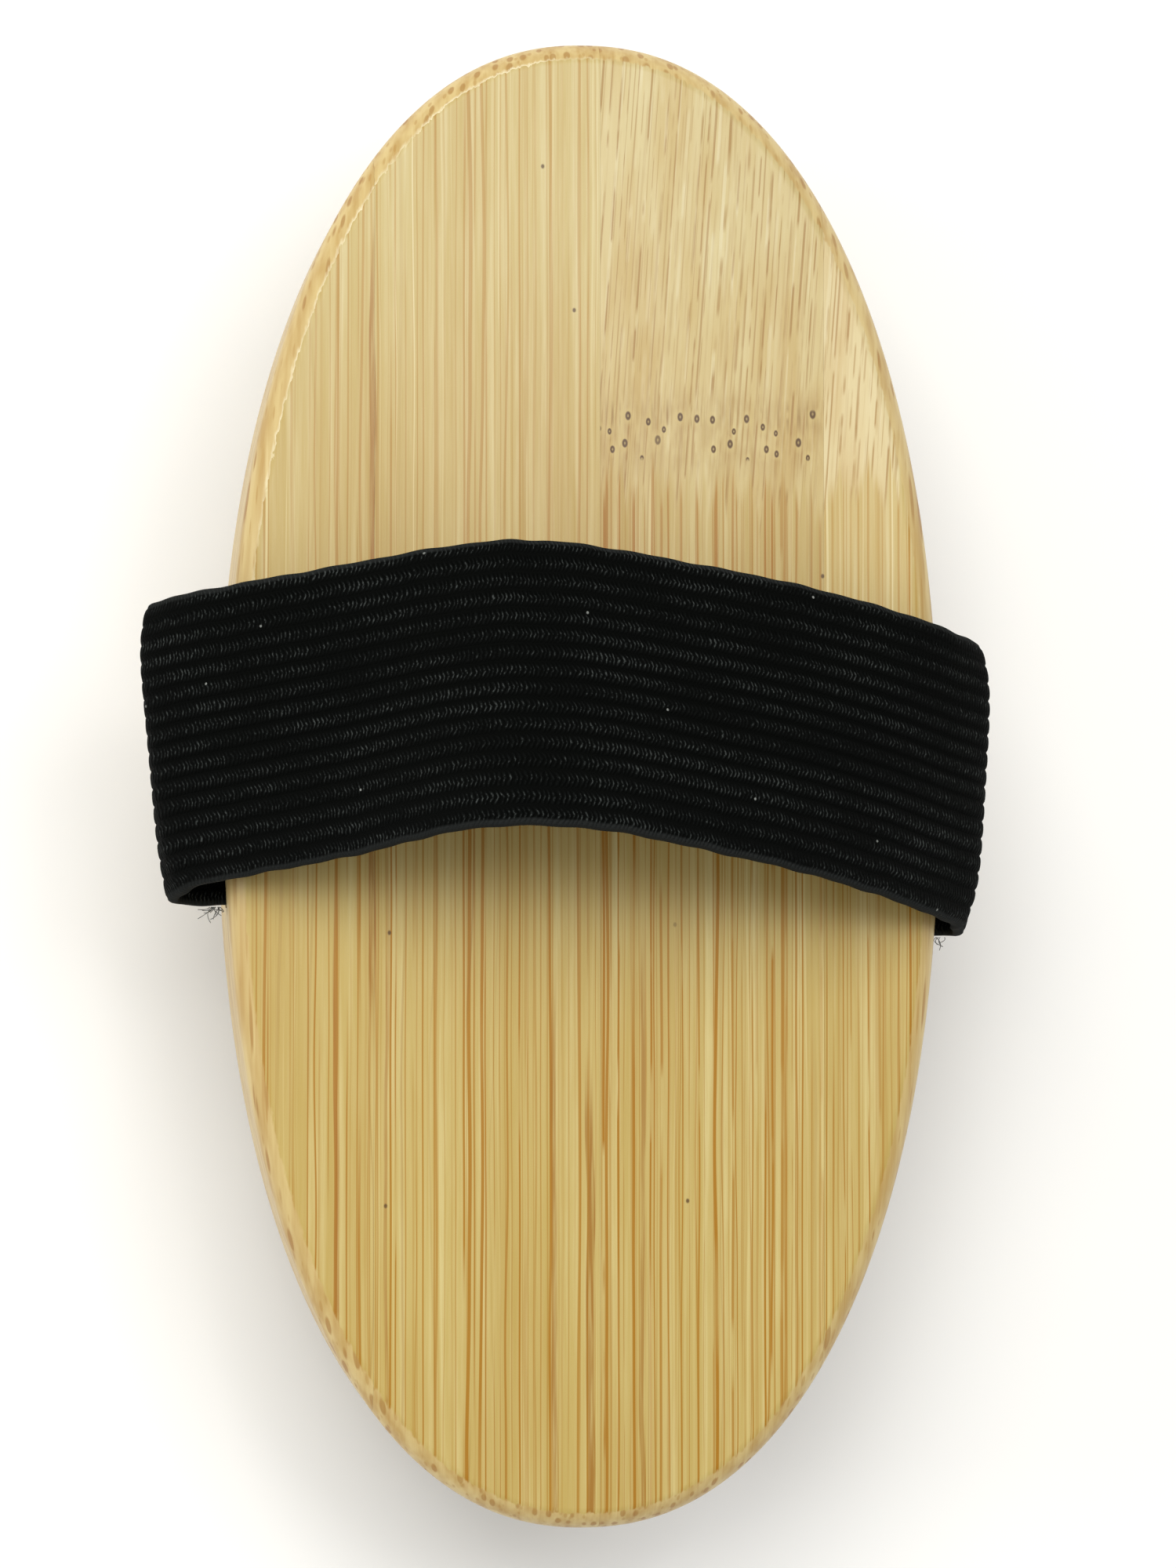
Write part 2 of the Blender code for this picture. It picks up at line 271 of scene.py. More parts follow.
@dataclass(frozen=True)
class Bamboo:
    """Pale bamboo strip, planed and sanded, under a thin satin varnish.

    The fibres run along the strip. What the eye gets is a smooth straw base with fine ochre lines,
    each a bundle of fibres, a few wider cream and tan bands, and a soft sheen.

    Attributes:
        glue_z: the level of the glue line between the strips and the board.
        shift: moves every pattern, so that no two strips are alike.
        base, cream, tan: the straw base and the bands on it.
        ochre, red_brown: the bundles' colours.
        face, face_tan: the two tones of a pressed face.
        depth: a painted sheen, the tint along the block that is more saturated towards the front
            and paler and whiter towards the rear, where the light's reflection falls.
        dense_from_mm: where the bundles start to crowd, towards the front; the sparser, paler
            lines behind it are partly painted sheen.
        dashes_from_mm: where a pressed face's dashes start, towards the rear.
        node_mm: where the joint of the cane starts and ends, if the strip has one.
    """

    name: str
    glue_z: float
    grain: Grain = Grain.SAWN_EDGE
    shift: float = 0.0
    base: str = "#CBB984"
    cream: str = "#D8CCA2"
    tan: str = "#BEA65E"
    ochre: str = "#AC7A02"
    red_brown: str = "#9A6C1C"
    face: str = "#D2C293"
    face_tan: str = "#C6AE74"
    depth: tuple[str, str, str, str] = ("#F2ECCA", "#F0E8C8", "#E9E0C6", "#EEEDE2")
    ochre_amount: float = 0.95
    brown_amount: float = 0.35
    dense_from_mm: float = 22.0
    crowding_mm: float = 34.0
    sparse_grain_and_sheen: float = 0.62
    dashes_from_mm: float = 31.9
    node_mm: tuple[float, float] | None = None
    streaks: tuple[Streak, ...] = ()

    def noise(
        self,
        tree: Tree,
        place: Socket,
        size_mm: Triple,
        detail: float,
        offset: float,
        lean_deg: float = 0.0,
    ) -> Socket:
        """Makes noise whose blobs have the given size along X, Y and Z.

        Args:
            tree: the material's node tree.
            place: the socket with the place on the block, in metres.
            size_mm: the size of a blob along each axis.
            detail: octaves of finer noise.
            offset: moves the pattern, so that no two are alike.
            lean_deg: turns the pattern about Z.

        Returns:
            The noise's value socket.
        """
        turn = (0, 0, math.radians(lean_deg))
        turned = add_node(tree, "Mapping", {"Vector": place, "Rotation": turn})[0]
        spread = add_node(
            tree,
            "Mapping",
            {
                "Vector": turned,
                "Location": (offset + self.shift, offset, self.shift),
                "Scale": tuple(1 / (size * MM) for size in size_mm),
            },
        )[0]
        values = {"Vector": spread, "Scale": 1.0, "Detail": detail, "Roughness": 0.55}
        return add_node(tree, "TexNoise", values)[0]

    def patches(
        self,
        tree: Tree,
        place: Socket,
        size_mm: Triple,
        detail: float,
        offset: float,
        *stops: tuple[float, float],
        lean_deg: float = 0.0,
    ) -> Socket:
        """Makes soft patches: noise, read through a ramp.

        Args:
            tree: the material's node tree.
            place: the socket with the place on the block, in metres.
            size_mm: the size of a patch along each axis.
            detail: octaves of finer noise.
            offset: moves the pattern, so that no two are alike.
            *stops: the ramp's (position, value) stops.
            lean_deg: turns the pattern about Z.

        Returns:
            The socket with the patches' strength.
        """
        value = self.noise(tree, place, size_mm, detail, offset, lean_deg)
        return add_node(tree, "ValToRGB", (value,), stops)[0]

    def fibre_lines(self, tree: Tree, place: Socket, fibres: Fibres) -> Socket:
        """Draws thin crisp lines, each with its own width, strength and breaks.

        Args:
            tree: the material's node tree.
            place: the socket with the place on the block, in metres.
            fibres: the layer of lines.

        Returns:
            A socket that is near 1 on a line and 0 between lines.
        """
        turn = (0, 0, math.radians(fibres.lean_deg))
        turned = add_node(tree, "Mapping", {"Vector": place, "Rotation": turn})[0]
        x, y, _ = add_node(tree, "SeparateXYZ", (turned,))
        sway = self.noise(tree, place, (9, 32, 9), 1.0, fibres.offset + 3.3)
        across = add_node(tree, "Math", (x, fibres.pitch_mm * MM), operation="DIVIDE")[0]
        start = fibres.offset + self.shift
        across = add_node(tree, "Math", (across, start), operation="ADD")[0]
        swing = add_node(tree, "Math", (sway, 0.7), operation="MULTIPLY")[0]
        across = add_node(tree, "Math", (across, swing), operation="ADD")[0]
        values = {"W": across, "Scale": 1.0, "Randomness": 1.0}
        line = add_node(tree, "TexVoronoi", values, voronoi_dimensions="1D")
        own = add_node(tree, "SeparateColor", (line["Color"],))
        along = add_node(tree, "Math", (y, fibres.run_mm * MM), operation="DIVIDE")[0]
        lane = add_node(tree, "Math", (own[1], 57.0), operation="MULTIPLY")[0]
        where = add_node(tree, "CombineXYZ", (lane, along))[0]
        run = add_node(tree, "TexNoise", {"Vector": where, "Scale": 1.0, "Detail": 1.5})[0]
        middle = 0.70 - 0.40 * fibres.shown
        shown = add_node(
            tree, "ValToRGB", (run,), ((middle - 0.05, 0.0), (middle + 0.05, 1.0))
        )[0]
        widest = 0.5 * fibres.width_mm / fibres.pitch_mm
        half = add_node(tree, "Math", (own[0], widest), operation="MULTIPLY")[0]
        inside = add_node(tree, "Math", (half, line["Distance"]), operation="SUBTRACT")[0]
        soft = 0.035 / fibres.pitch_mm
        edge = add_node(tree, "MapRange", (inside, -soft, soft))[0]
        strength = add_node(tree, "ValToRGB", (own[2],), ((0.1, 0.25), (0.8, 1.0)))[0]
        crisp = add_node(tree, "Math", (edge, shown), operation="MULTIPLY")[0]
        return add_node(tree, "Math", (crisp, strength), operation="MULTIPLY")[0]

    def window(
        self, tree: Tree, value: Socket, low_mm: float, high_mm: float, soft_mm: float
    ) -> Socket:
        """Shows what lies between two places, with soft ends.

        Args:
            tree: the material's node tree.
            value: the socket with the place along one axis, in metres.
            low_mm: where the window starts.
            high_mm: where it ends.
            soft_mm: how softly it does.

        Returns:
            A socket that is 1 in the window and 0 outside it.
        """
        edges = []
        for edge_mm, low, high in ((low_mm, 0.0, 1.0), (high_mm, 1.0, 0.0)):
            ends = ((edge_mm - soft_mm) * MM, (edge_mm + soft_mm) * MM)
            values = (value, *ends, low, high)
            edges.append(add_node(tree, "MapRange", values, interpolation_type="SMOOTHSTEP")[0])
        return add_node(tree, "Math", tuple(edges), operation="MULTIPLY")[0]

    def base_colour(self, tree: Tree, place: Socket) -> Socket:
        """Lays broad tan and cream bands and a faint grain on the straw base.

        Args:
            tree: the material's node tree.
            place: the socket with the place on the block, in metres.

        Returns:
            The colour's socket.
        """
        tan = self.patches(tree, place, (1.7, 60, 1.7), 2.0, 17.3, (0.45, 0.0), (0.70, 0.5))
        colour = lay_over(tree, self.base, self.tan, tan)
        cream = self.patches(tree, place, (0.9, 55, 0.9), 1.0, 73.9, (0.52, 0.0), (0.70, 0.8))
        colour = lay_over(tree, colour, self.cream, cream)
        # A single fibre, about 0.02 mm, is too fine to show: the grain is ten times as coarse.
        grain = self.patches(tree, place, (0.22, 6, 0.22), 2.0, 51.0, (0.35, 0.3), (0.65, 0.0))
        return lay_over(tree, colour, self.tan, grain)

    def straight_colour(self, tree: Tree, place: Socket, y: Socket) -> Socket:
        """Draws long ochre bundles, denser towards the front, and a few red-brown ones; the rear's
        sparser lines are partly painted sheen.

        Args:
            tree: the material's node tree.
            place: the socket with the place on the block, in metres.
            y: the socket with the place along the strip.

        Returns:
            The colour's socket.
        """
        colour = self.base_colour(tree, place)
        # Partly painted sheen: towards the rear the ochre lines thin out and the pale lines
        # strengthen. This is the grain's own crowding and also stands in for the sheen washing out
        # the contrast there.
        ends = (self.dense_from_mm * MM, (self.dense_from_mm - self.crowding_mm) * MM)
        dense = add_node(
            tree, "MapRange", (y, *ends, self.sparse_grain_and_sheen, 1.0), interpolation_type="SMOOTHSTEP"
        )[0]
        amount = add_node(tree, "Math", (dense, self.ochre_amount), operation="MULTIPLY")[0]
        layers = [WIDE_BUNDLES, NARROW_BUNDLES]
        if self.grain is Grain.PRESSED_FACE:
            layers.append(SHORT_BUNDLES)
        for layer in layers:
            lines = self.fibre_lines(tree, place, layer)
            colour = lay_over(tree, colour, self.ochre, lines, amount)
        pale = self.fibre_lines(tree, place, PALE_LINES)
        pale_lines_and_sheen = add_node(tree, "MapRange", (dense, self.sparse_grain_and_sheen, 1.0, 0.75, 0.35))[0]
        colour = lay_over(tree, colour, "#E8DFB8", pale, pale_lines_and_sheen)
        brown = self.fibre_lines(tree, place, BROWN_LINES)
        browner = add_node(tree, "MapRange", (dense, self.sparse_grain_and_sheen, 1.0, 0.4, 1.0))[0]
        return lay_over(tree, colour, self.red_brown, brown, self.brown_amount, browner)

    def dashed_colour(self, tree: Tree, place: Socket) -> Socket:
        """Draws short slanting dashes, where the fibres run out of a pressed face.

        Args:
            tree: the material's node tree.
            place: the socket with the place on the block, in metres.

        Returns:
            The colour's socket.
        """
        stops = ((0.40, 0.0), (0.66, 0.8))
        broad = self.patches(
            tree, place, (2.2, 14, 2.2), 2.0, 28.4, *stops, lean_deg=PRESSED_LEAN_DEG
        )
        colour = lay_over(tree, self.face, self.face_tan, broad)
        pale = self.fibre_lines(tree, place, PALE_DASHES)
        colour = lay_over(tree, colour, "#E0D6B4", pale, 0.5)
        for layer in BROWN_DASHES:
            dashes = self.fibre_lines(tree, place, layer)
            colour = lay_over(tree, colour, "#9C7126", dashes, 0.72)
        return colour

    def node_band(self, tree: Tree, place: Socket, y: Socket, colour: Socket) -> Socket:
        """Draws the joint of the cane: a shaded band with small brown vessel rings across it.

        Args:
            tree: the material's node tree.
            place: the socket with the place on the block, in metres.
            y: the socket with the place along the strip.
            colour: the colour so far.

        Returns:
            The colour's socket.
        """
        low, high = self.node_mm
        cloud = self.patches(tree, place, (0.8, 3.2, 0.8), 2.0, 12.9, (0.36, 0.0), (0.62, 0.45))
        band = self.window(tree, y, low - 1.0, high + 1.6, 1.6)
        colour = lay_over(tree, colour, "#B1935A", band, cloud)
        ticks = self.fibre_lines(tree, place, NODE_TICKS)
        ridge = self.window(tree, y, high - 1.6, high + 0.4, 0.9)
        colour = lay_over(tree, colour, "#8F6B2C", ticks, ridge, 0.6)
        distance, own = scatter(
            tree, place, (1 / (1.5 * MM), 1 / (2.4 * MM), 0.0), randomness=0.8
        )
        rows = self.window(tree, y, low, high, 0.2)
        some = add_node(tree, "ValToRGB", (own[0],), ((0.16, 0.0), (0.22, 1.0)))[0]
        rows = add_node(tree, "Math", (rows, some), operation="MULTIPLY")[0]
        spread = add_node(tree, "MapRange", {0: own[1], 3: 1.35, 4: 0.85})[0]
        away = add_node(tree, "Math", (distance, spread), operation="MULTIPLY")[0]
        halo = add_node(tree, "ValToRGB", (away,), ((0.18, 0.4), (0.42, 0.0)))[0]
        colour = lay_over(tree, colour, "#D6C58E", halo, rows)
        # A vessel is about 0.2 mm across and would be a speck, so its ring is twice as wide.
        ring_stops = ((0.03, 0.45), (0.07, 1.0), (0.13, 1.0), (0.18, 0.0))
        ring = add_node(tree, "ValToRGB", (away,), ring_stops)[0]
        return lay_over(tree, colour, "#5C3E00", ring, rows)

    def add_streaks(
        self, tree: Tree, place: Socket, x: Socket, y: Socket, colour: Socket
    ) -> Socket:
        """Draws the few bundles that stand out, and tiny dark specks scattered over the face.

        Args:
            tree: the material's node tree.
            place: the socket with the place on the block, in metres.
            x: the socket with the place across the strip.
            y: the socket with the place along it.
            colour: the colour so far.

        Returns:
            The colour's socket.
        """
        sway = self.noise(tree, place, (20, 16, 20), 1.0, 91.3)
        swing = add_node(tree, "Math", (sway, 0.8 * MM), operation="MULTIPLY")[0]
        swayed = add_node(tree, "Math", (x, swing), operation="ADD")[0]
        mean_swing_mm = 0.4
        broken = self.patches(tree, place, (0.25, 9, 0.25), 2.0, 66.6, (0.32, 0.35), (0.6, 1.0))
        for streak in self.streaks:
            half = streak.width / 2
            middle = streak.x + mean_swing_mm
            across = self.window(tree, swayed, middle - half, middle + half, 0.07)
            along = self.window(tree, y, streak.low, streak.high, 5.0)
            colour = lay_over(
                tree, colour, streak.colour, across, along, broken, streak.strength
            )
        distance, own = scatter(tree, place, (1 / (13 * MM), 1 / (17 * MM), 0.0))
        few = add_node(tree, "ValToRGB", (own[0],), ((0.58, 0.0), (0.62, 0.9)))[0]
        speck = add_node(tree, "ValToRGB", (distance,), ((0.009, 1.0), (0.014, 0.0)))[0]
        return lay_over(tree, colour, "#5A3E18", speck, few)

    def cut_fibres(self, tree: Tree, place: Socket) -> Socket:
        """Draws the strip's sides and ends: bundles as lines along it and as dots across it.

        Args:
            tree: the material's node tree.
            place: the socket with the place on the block, in metres.

        Returns:
            The colour's socket.
        """
        tone = self.patches(tree, place, (1.1, 60, 1.1), 2.0, 44.4, (0.38, 0.0), (0.66, 1.0))
        colour = lay_over(tree, "#CDB57B", "#B8975A", tone)
        for pitch_mm, radius, amount, shade in (
            (1.0, 0.24, 0.75, "#9A6A26"),
            (0.6, 0.20, 0.55, "#A97F3C"),
        ):
            across = 1 / (pitch_mm * MM)
            distance, own = scatter(
                tree,
                place,
                (across, 1 / (60 * MM), across),
                shift=(self.shift, pitch_mm * 9.7, 0.0),
                space="3D",
            )
            size = add_node(tree, "Math", (own[1], radius), operation="MULTIPLY")[0]
            size = add_node(tree, "Math", (size, 0.1), operation="ADD")[0]
            inside = add_node(tree, "Math", (size, distance), operation="SUBTRACT")[0]
            bundle = add_node(tree, "MapRange", (inside, -0.05, 0.05))[0]
            colour = lay_over(tree, colour, shade, bundle, amount)
        z = add_node(tree, "SeparateXYZ", (place,))["Z"]
        glue_mm = self.glue_z / MM
        glue = self.window(tree, z, glue_mm - 0.06, glue_mm + 0.06, 0.05)
        return lay_over(tree, colour, "#8C6428", glue, 0.6)

    def rim_colour(self, tree: Tree, place: Socket, colour: Socket) -> Socket:
        """Draws the rounded rim: cut bundles, and a pale crest on its left rear side, a painted
        highlight where the light from the left catches the arris.

        Args:
            tree: the material's node tree.
            place: the socket with the place on the block, in metres.
            colour: the face's colour.

        Returns:
            The colour's socket.
        """
        normal = add_node(tree, "NewGeometry")["Normal"]
        facing = add_node(tree, "SeparateXYZ", (normal,))
        upward = add_node(tree, "Math", (facing["Z"],), operation="ABSOLUTE")[0]
        nibbled = self.noise(tree, place, (0.35, 1.3, 0.35), 2.0, 5.7)
        bite = add_node(tree, "Math", (nibbled, 0.14), operation="MULTIPLY")[0]
        level = add_node(tree, "Math", (upward, bite), operation="ADD")[0]
        side_stops = ((0.55, 1.0), (0.96, 0.75), (1.05, 0.0))
        side = add_node(tree, "ValToRGB", (level,), side_stops)[0]
        colour = lay_over(tree, colour, self.cut_fibres(tree, place), side)
        # Painted highlight: the pale crest is laid on the rim's left rear side only, where the
        # light from the left catches the arris, and broken into patches.
        rearward = add_node(tree, "Math", (facing["Y"], 0.15), operation="MULTIPLY")[0]
        leftward = add_node(tree, "Math", (rearward, facing["X"]), operation="SUBTRACT")[0]
        lit_left_side = add_node(tree, "ValToRGB", (leftward,), ((0.02, 0.0), (0.12, 1.0)))[0]
        y = add_node(tree, "SeparateXYZ", (place,))["Y"]
        rear = add_node(tree, "MapRange", (y, 0.0, 14 * MM))[0]
        lit_left_rear = add_node(tree, "Math", (lit_left_side, rear), operation="MULTIPLY")[0]
        painted_highlight_stops = ((0.94, 0.0), (1.0, 0.8), (1.06, 0.0))
        crest = add_node(tree, "ValToRGB", (level,), painted_highlight_stops)[0]
        painted_highlight_breakup = self.patches(tree, place, (4, 6, 4), 3.0, 14.4, (0.36, 0.25), (0.60, 1.0))
        return lay_over(tree, colour, "#E8DDB8", crest, painted_highlight_breakup, lit_left_rear)

    def make(self) -> bpy.types.Material:
        """Builds the strip's material.

        Returns:
            The material.
        """
        material, tree, shader = new_material(self.name)
        place = add_node(tree, "TexCoord")["Object"]
        x, y, _ = add_node(tree, "SeparateXYZ", (place,))
        colour = self.straight_colour(tree, place, y)
        if self.grain is Grain.PRESSED_FACE:
            uneven = self.noise(tree, place, (0.6, 40, 0.6), 1.0, 8.8)
            uneven = add_node(tree, "Math", (uneven, 12 * MM), operation="MULTIPLY")[0]
            ragged = add_node(tree, "Math", (y, uneven), operation="ADD")[0]
            rear = self.window(tree, ragged, self.dashes_from_mm, 200.0, 1.5)
            colour = lay_over(tree, colour, self.dashed_colour(tree, place), rear)
        if self.node_mm:
            colour = self.node_band(tree, place, y, colour)
        colour = self.add_streaks(tree, place, x, y, colour)
        tone = self.patches(tree, place, (11, 40, 11), 1.0, 5.5, (0.35, 0.0), (0.70, 0.25))
        colour = lay_over(tree, colour, "#E0C68A", tone, blend="MULTIPLY")
        # Painted sheen: the tint along the block leaves the rear paler and whiter, where the
        # light's reflection falls, and the front more saturated.
        along = add_node(tree, "MapRange", (y, -40 * MM, 60 * MM))[0]
        painted_sheen_stops = zip((0.0, 0.35, 0.60, 0.88), (linear(shade) for shade in self.depth))
        depth = add_node(tree, "ValToRGB", (along,), tuple(painted_sheen_stops))[0]
        colour = lay_over(tree, colour, depth, 1.0, blend="MULTIPLY")
        colour = self.rim_colour(tree, place, colour)
        tree.links.new(colour, shader.inputs["Base Color"])
        fine = self.noise(tree, place, (0.28, 9, 0.28), 3.0, 61.0)
        rough = add_node(tree, "ValToRGB", (fine,), ((0.30, 0.36), (0.70, 0.50)))[0]
        tree.links.new(rough, shader.inputs["Roughness"])
        pores = {"Height": fine, "Strength": 0.15, "Distance": 0.1 * MM}
        tree.links.new(add_node(tree, "Bump", pores)[0], shader.inputs["Normal"])
        shader.inputs["Specular IOR Level"].default_value = 0.4
        shader.inputs["Coat Weight"].default_value = 0.10
        shader.inputs["Coat Roughness"].default_value = 0.30
        return material


@dataclass(frozen=True)
class WovenElastic:
    """Black polyester elastic, knitted in ribs along its length.

    Each rib is a row of small upright loops. A painted grey highlight lies on the loops' tops and
    the valleys between the ribs stay black. A painted sheen makes the selvages a little lighter,
    and lint sits on the band.

    Attributes:
        length: the band's length, which its map's first axis runs along.
        width: the band's width, along the second axis.
        rib_mm: the distance from rib to rib.
        loop_mm: the distance from loop to loop. The yarn's single filaments are too fine to
            show, so a loop is drawn as one thick strand.
        lint_mm: the size of the cells that hold a speck of lint at most.
    """

    length: float
    width: float
    rib_mm: float = 1.6
    loop_mm: float = 0.38
    lint_mm: float = 7.0

    def noise(
        self,
        tree: Tree,
        along: Socket,
        across: Socket,
        rate: tuple[float, float],
        detail: float,
        roughness: float = 0.5,
    ) -> Socket:
        """Makes noise that follows the knit.

        Args:
            tree: the material's node tree.
            along: the socket that counts the loops along the band.
            across: the socket that counts the ribs across it.
            rate: blobs for each loop and for each rib.
            detail: octaves of finer noise.
            roughness: how strong the finer noise is.

        Returns:
            The noise's value socket.
        """
        first = add_node(tree, "Math", (along, rate[0]), operation="MULTIPLY")[0]
        second = add_node(tree, "Math", (across, rate[1]), operation="MULTIPLY")[0]
        where = add_node(tree, "CombineXYZ", (first, second))[0]
        values = {"Vector": where, "Scale": 1.0, "Detail": detail, "Roughness": roughness}
        return add_node(tree, "TexNoise", values)[0]

    def loops(self, tree: Tree, along: Socket, across: Socket) -> Socket:
        """Shapes the knitted loops, slanting away from the middle of each rib.

        Args:
            tree: the material's node tree.
            along: the socket that counts the loops along the band.
            across: the socket that counts the ribs across it.

        Returns:
            The socket with the loops' height, from 0 to 1.
        """
        within = add_node(tree, "Math", (across,), operation="FRACT")[0]
        rib = add_node(tree, "Math", (within, 0.5), operation="SUBTRACT")[0]
        row = add_node(tree, "Math", (across,), operation="FLOOR")[0]
        wobble = self.noise(tree, along, across, (0.35, 1.0), 2.0)
        aside = add_node(tree, "Math", (rib,), operation="ABSOLUTE")[0]
        slant = add_node(tree, "Math", (aside, 1.5), operation="MULTIPLY")[0]
        slanted = add_node(tree, "Math", (along, slant), operation="ADD")[0]
        stagger = add_node(tree, "Math", (row, 0.37), operation="MULTIPLY")[0]
        uneven = add_node(tree, "Math", (wobble, 1.6), operation="MULTIPLY")[0]
        moved = add_node(tree, "Math", (stagger, uneven), operation="ADD")[0]
        phase = add_node(tree, "Math", (slanted, moved), operation="ADD")[0]
        turn = add_node(tree, "Math", (phase, math.pi), operation="MULTIPLY")[0]
        wave = add_node(tree, "Math", (turn,), operation="SINE")[0]
        loop = add_node(tree, "Math", (wave,), operation="ABSOLUTE")[0]
        edge = add_node(tree, "Math", (rib, 2.0), operation="MULTIPLY")[0]
        edge = add_node(tree, "Math", (edge,), operation="ABSOLUTE")[0]
        fall = add_node(tree, "Math", (edge, 3.0), operation="POWER")[0]
        crest = add_node(tree, "Math", (1.0, fall), operation="SUBTRACT")[0]
        return add_node(tree, "Math", (loop, crest), operation="MULTIPLY")[0]

    def yarn_colour(
        self, tree: Tree, along: Socket, across: Socket, height: Socket, fuzz: Socket
    ) -> Socket:
        """Colours the yarn: black, with a painted grey highlight on some of the loops' tops.

        Args:
            tree: the material's node tree.
            along: the socket that counts the loops along the band.
            across: the socket that counts the ribs across it.
            height: the loops' height.
            fuzz: the yarn's fine unevenness.

        Returns:
            The colour's socket.
        """
        strand = add_node(tree, "Math", (height, 2.5), operation="POWER")[0]
        painted_highlight_breakup = self.noise(tree, along, across, (0.05, 0.35), 2.0)
        even = add_node(tree, "Math", (painted_highlight_breakup, 0.5), operation="MULTIPLY")[0]
        even = add_node(tree, "Math", (even, 0.45), operation="ADD")[0]
        caught = add_node(tree, "Math", (fuzz, even), operation="MULTIPLY")[0]
        catch = add_node(tree, "MapRange", (caught, 0.20, 0.55))[0]
        lit = add_node(tree, "Math", (strand, catch), operation="MULTIPLY")[0]
        # The grey stop is the painted highlight on the loops' tops, broken up by the noise.
        tones = ((0.05, "#030403"), (0.35, "#0C0E0D"), (0.85, "#464A48"))
        stops = tuple((position, linear(shade)) for position, shade in tones)
        return add_node(tree, "ValToRGB", (lit,), stops)[0]

    def add_lint(self, tree: Tree, uv: Socket, colour: Socket) -> Socket:
        """Scatters a few pale specks of lint on the band.

        Args:
            tree: the material's node tree.
            uv: the band's own map.
            colour: the colour so far.

        Returns:
            The colour's socket.
        """
        cell = self.lint_mm * MM
        distance, own = scatter(tree, uv, (self.length / cell, self.width / cell, 1.0))
        speck = add_node(tree, "MapRange", (distance, 0.012, 0.018, 0.8, 0.0))[0]
        some = add_node(tree, "Math", (own[0], 0.8), operation="GREATER_THAN")[0]
        return lay_over(tree, colour, "#8E918C", speck, some)

    def make(self) -> bpy.types.Material:
        """Builds the elastic's material on the strap's own UV map.

        Returns:
            The material.
        """
        material, tree, shader = new_material("black_knitted_polyester_elastic")
        uv = add_node(tree, "UVMap", uv_map=STRAP_UV)[0]
        u, v, _ = add_node(tree, "SeparateXYZ", (uv,))
        loop_count, rib_count = self.length / (self.loop_mm * MM), self.width / (self.rib_mm * MM)
        along = add_node(tree, "Math", (u, loop_count), operation="MULTIPLY")[0]
        across = add_node(tree, "Math", (v, rib_count), operation="MULTIPLY")[0]
        height = self.loops(tree, along, across)
        fuzz = self.noise(tree, along, across, (1.3, 4.0), 3.0, 0.7)
        colour = self.yarn_colour(tree, along, across, height, fuzz)
        # Painted sheen: the selvages are painted lighter where their rounded edges catch the
        # light.
        aside = add_node(tree, "Math", (v, 0.5), operation="SUBTRACT")[0]
        aside = add_node(tree, "Math", (aside,), operation="ABSOLUTE")[0]
        selvage_sheen = add_node(tree, "MapRange", (aside, 0.478, 0.486))[0]
        colour = lay_over(tree, colour, "#262827", selvage_sheen, 0.8)
        colour = self.add_lint(tree, uv, colour)
        tree.links.new(colour, shader.inputs["Base Color"])
        shader.inputs["Roughness"].default_value = 0.85
        shader.inputs["Specular IOR Level"].default_value = 0.05
        rough = add_node(tree, "Math", (fuzz, 0.5), operation="MULTIPLY")[0]
        relief = add_node(tree, "Math", (height, rough), operation="ADD")[0]
        knit = {"Height": relief, "Strength": 0.8, "Distance": 0.2 * MM}
        tree.links.new(add_node(tree, "Bump", knit)[0], shader.inputs["Normal"])
        return material


@dataclass(frozen=True)
class LooseYarn:
    """Dark grey polyester filament, frayed out of the band: a little lighter where it thins."""

    thick: str = "#2A2D2B"
    thin: str = "#7B807C"
    blob_mm: float = 0.5

    def make(self) -> bpy.types.Material:
        """Builds the loose yarn's material.

        Returns:
            The material.
        """
        material, tree, shader = new_material("frayed_polyester_yarn")
        place = add_node(tree, "TexCoord")["Object"]
        values = {"Vector": place, "Scale": 1 / (self.blob_mm * MM), "Detail": 2.0}
        wear = add_node(tree, "TexNoise", values)[0]
        stops = ((0.35, linear(self.thick)), (0.70, linear(self.thin)))
        colour = add_node(tree, "ValToRGB", (wear,), stops)[0]
        tree.links.new(colour, shader.inputs["Base Color"])
        shader.inputs["Roughness"].default_value = 0.7
        return material


@dataclass(frozen=True)
class NaturalBristle:
    """Pale plant or boar bristle: each one glossy and slightly different, darker at the root."""

    tips_z: float
    root_z: float
    shades: tuple[str, str, str] = ("#B99A62", "#DCC593", "#F0E3C0")
    root_tint: str = "#A5854F"

    def make(self) -> bpy.types.Material:
        """Builds the bristle's material, shaded from root to tip.

        Returns:
            The material.
        """
        material, tree, shader = new_material("natural_cream_bristle")
        place = add_node(tree, "TexCoord")["Object"]
        across, along = 1 / (0.45 * MM), 1 / (30 * MM)
        columns = {"Vector": place, "Scale": (across, across, along)}
        cells = add_node(tree, "Mapping", columns)[0]
        each = add_node(tree, "TexNoise", {"Vector": cells, "Scale": 1.0, "Detail": 1.0})[0]
        stops = tuple(zip((0.30, 0.50, 0.72), (linear(shade) for shade in self.shades)))
        strand = add_node(tree, "ValToRGB", (each,), stops)[0]
        z = add_node(tree, "SeparateXYZ", (place,))["Z"]
        rootward = add_node(tree, "MapRange", (z, self.tips_z, self.root_z, 0.0, 0.55))[0]
        colour = lay_over(tree, strand, self.root_tint, rootward, blend="MULTIPLY")
        tree.links.new(colour, shader.inputs["Base Color"])
        shader.inputs["Roughness"].default_value = 0.42
        shader.inputs["IOR"].default_value = 1.55
        shader.inputs["Subsurface Weight"].default_value = 0.08
        shader.inputs["Subsurface Radius"].default_value = (1.0, 0.8, 0.5)
        shader.inputs["Subsurface Scale"].default_value = 0.4 * MM
        return material


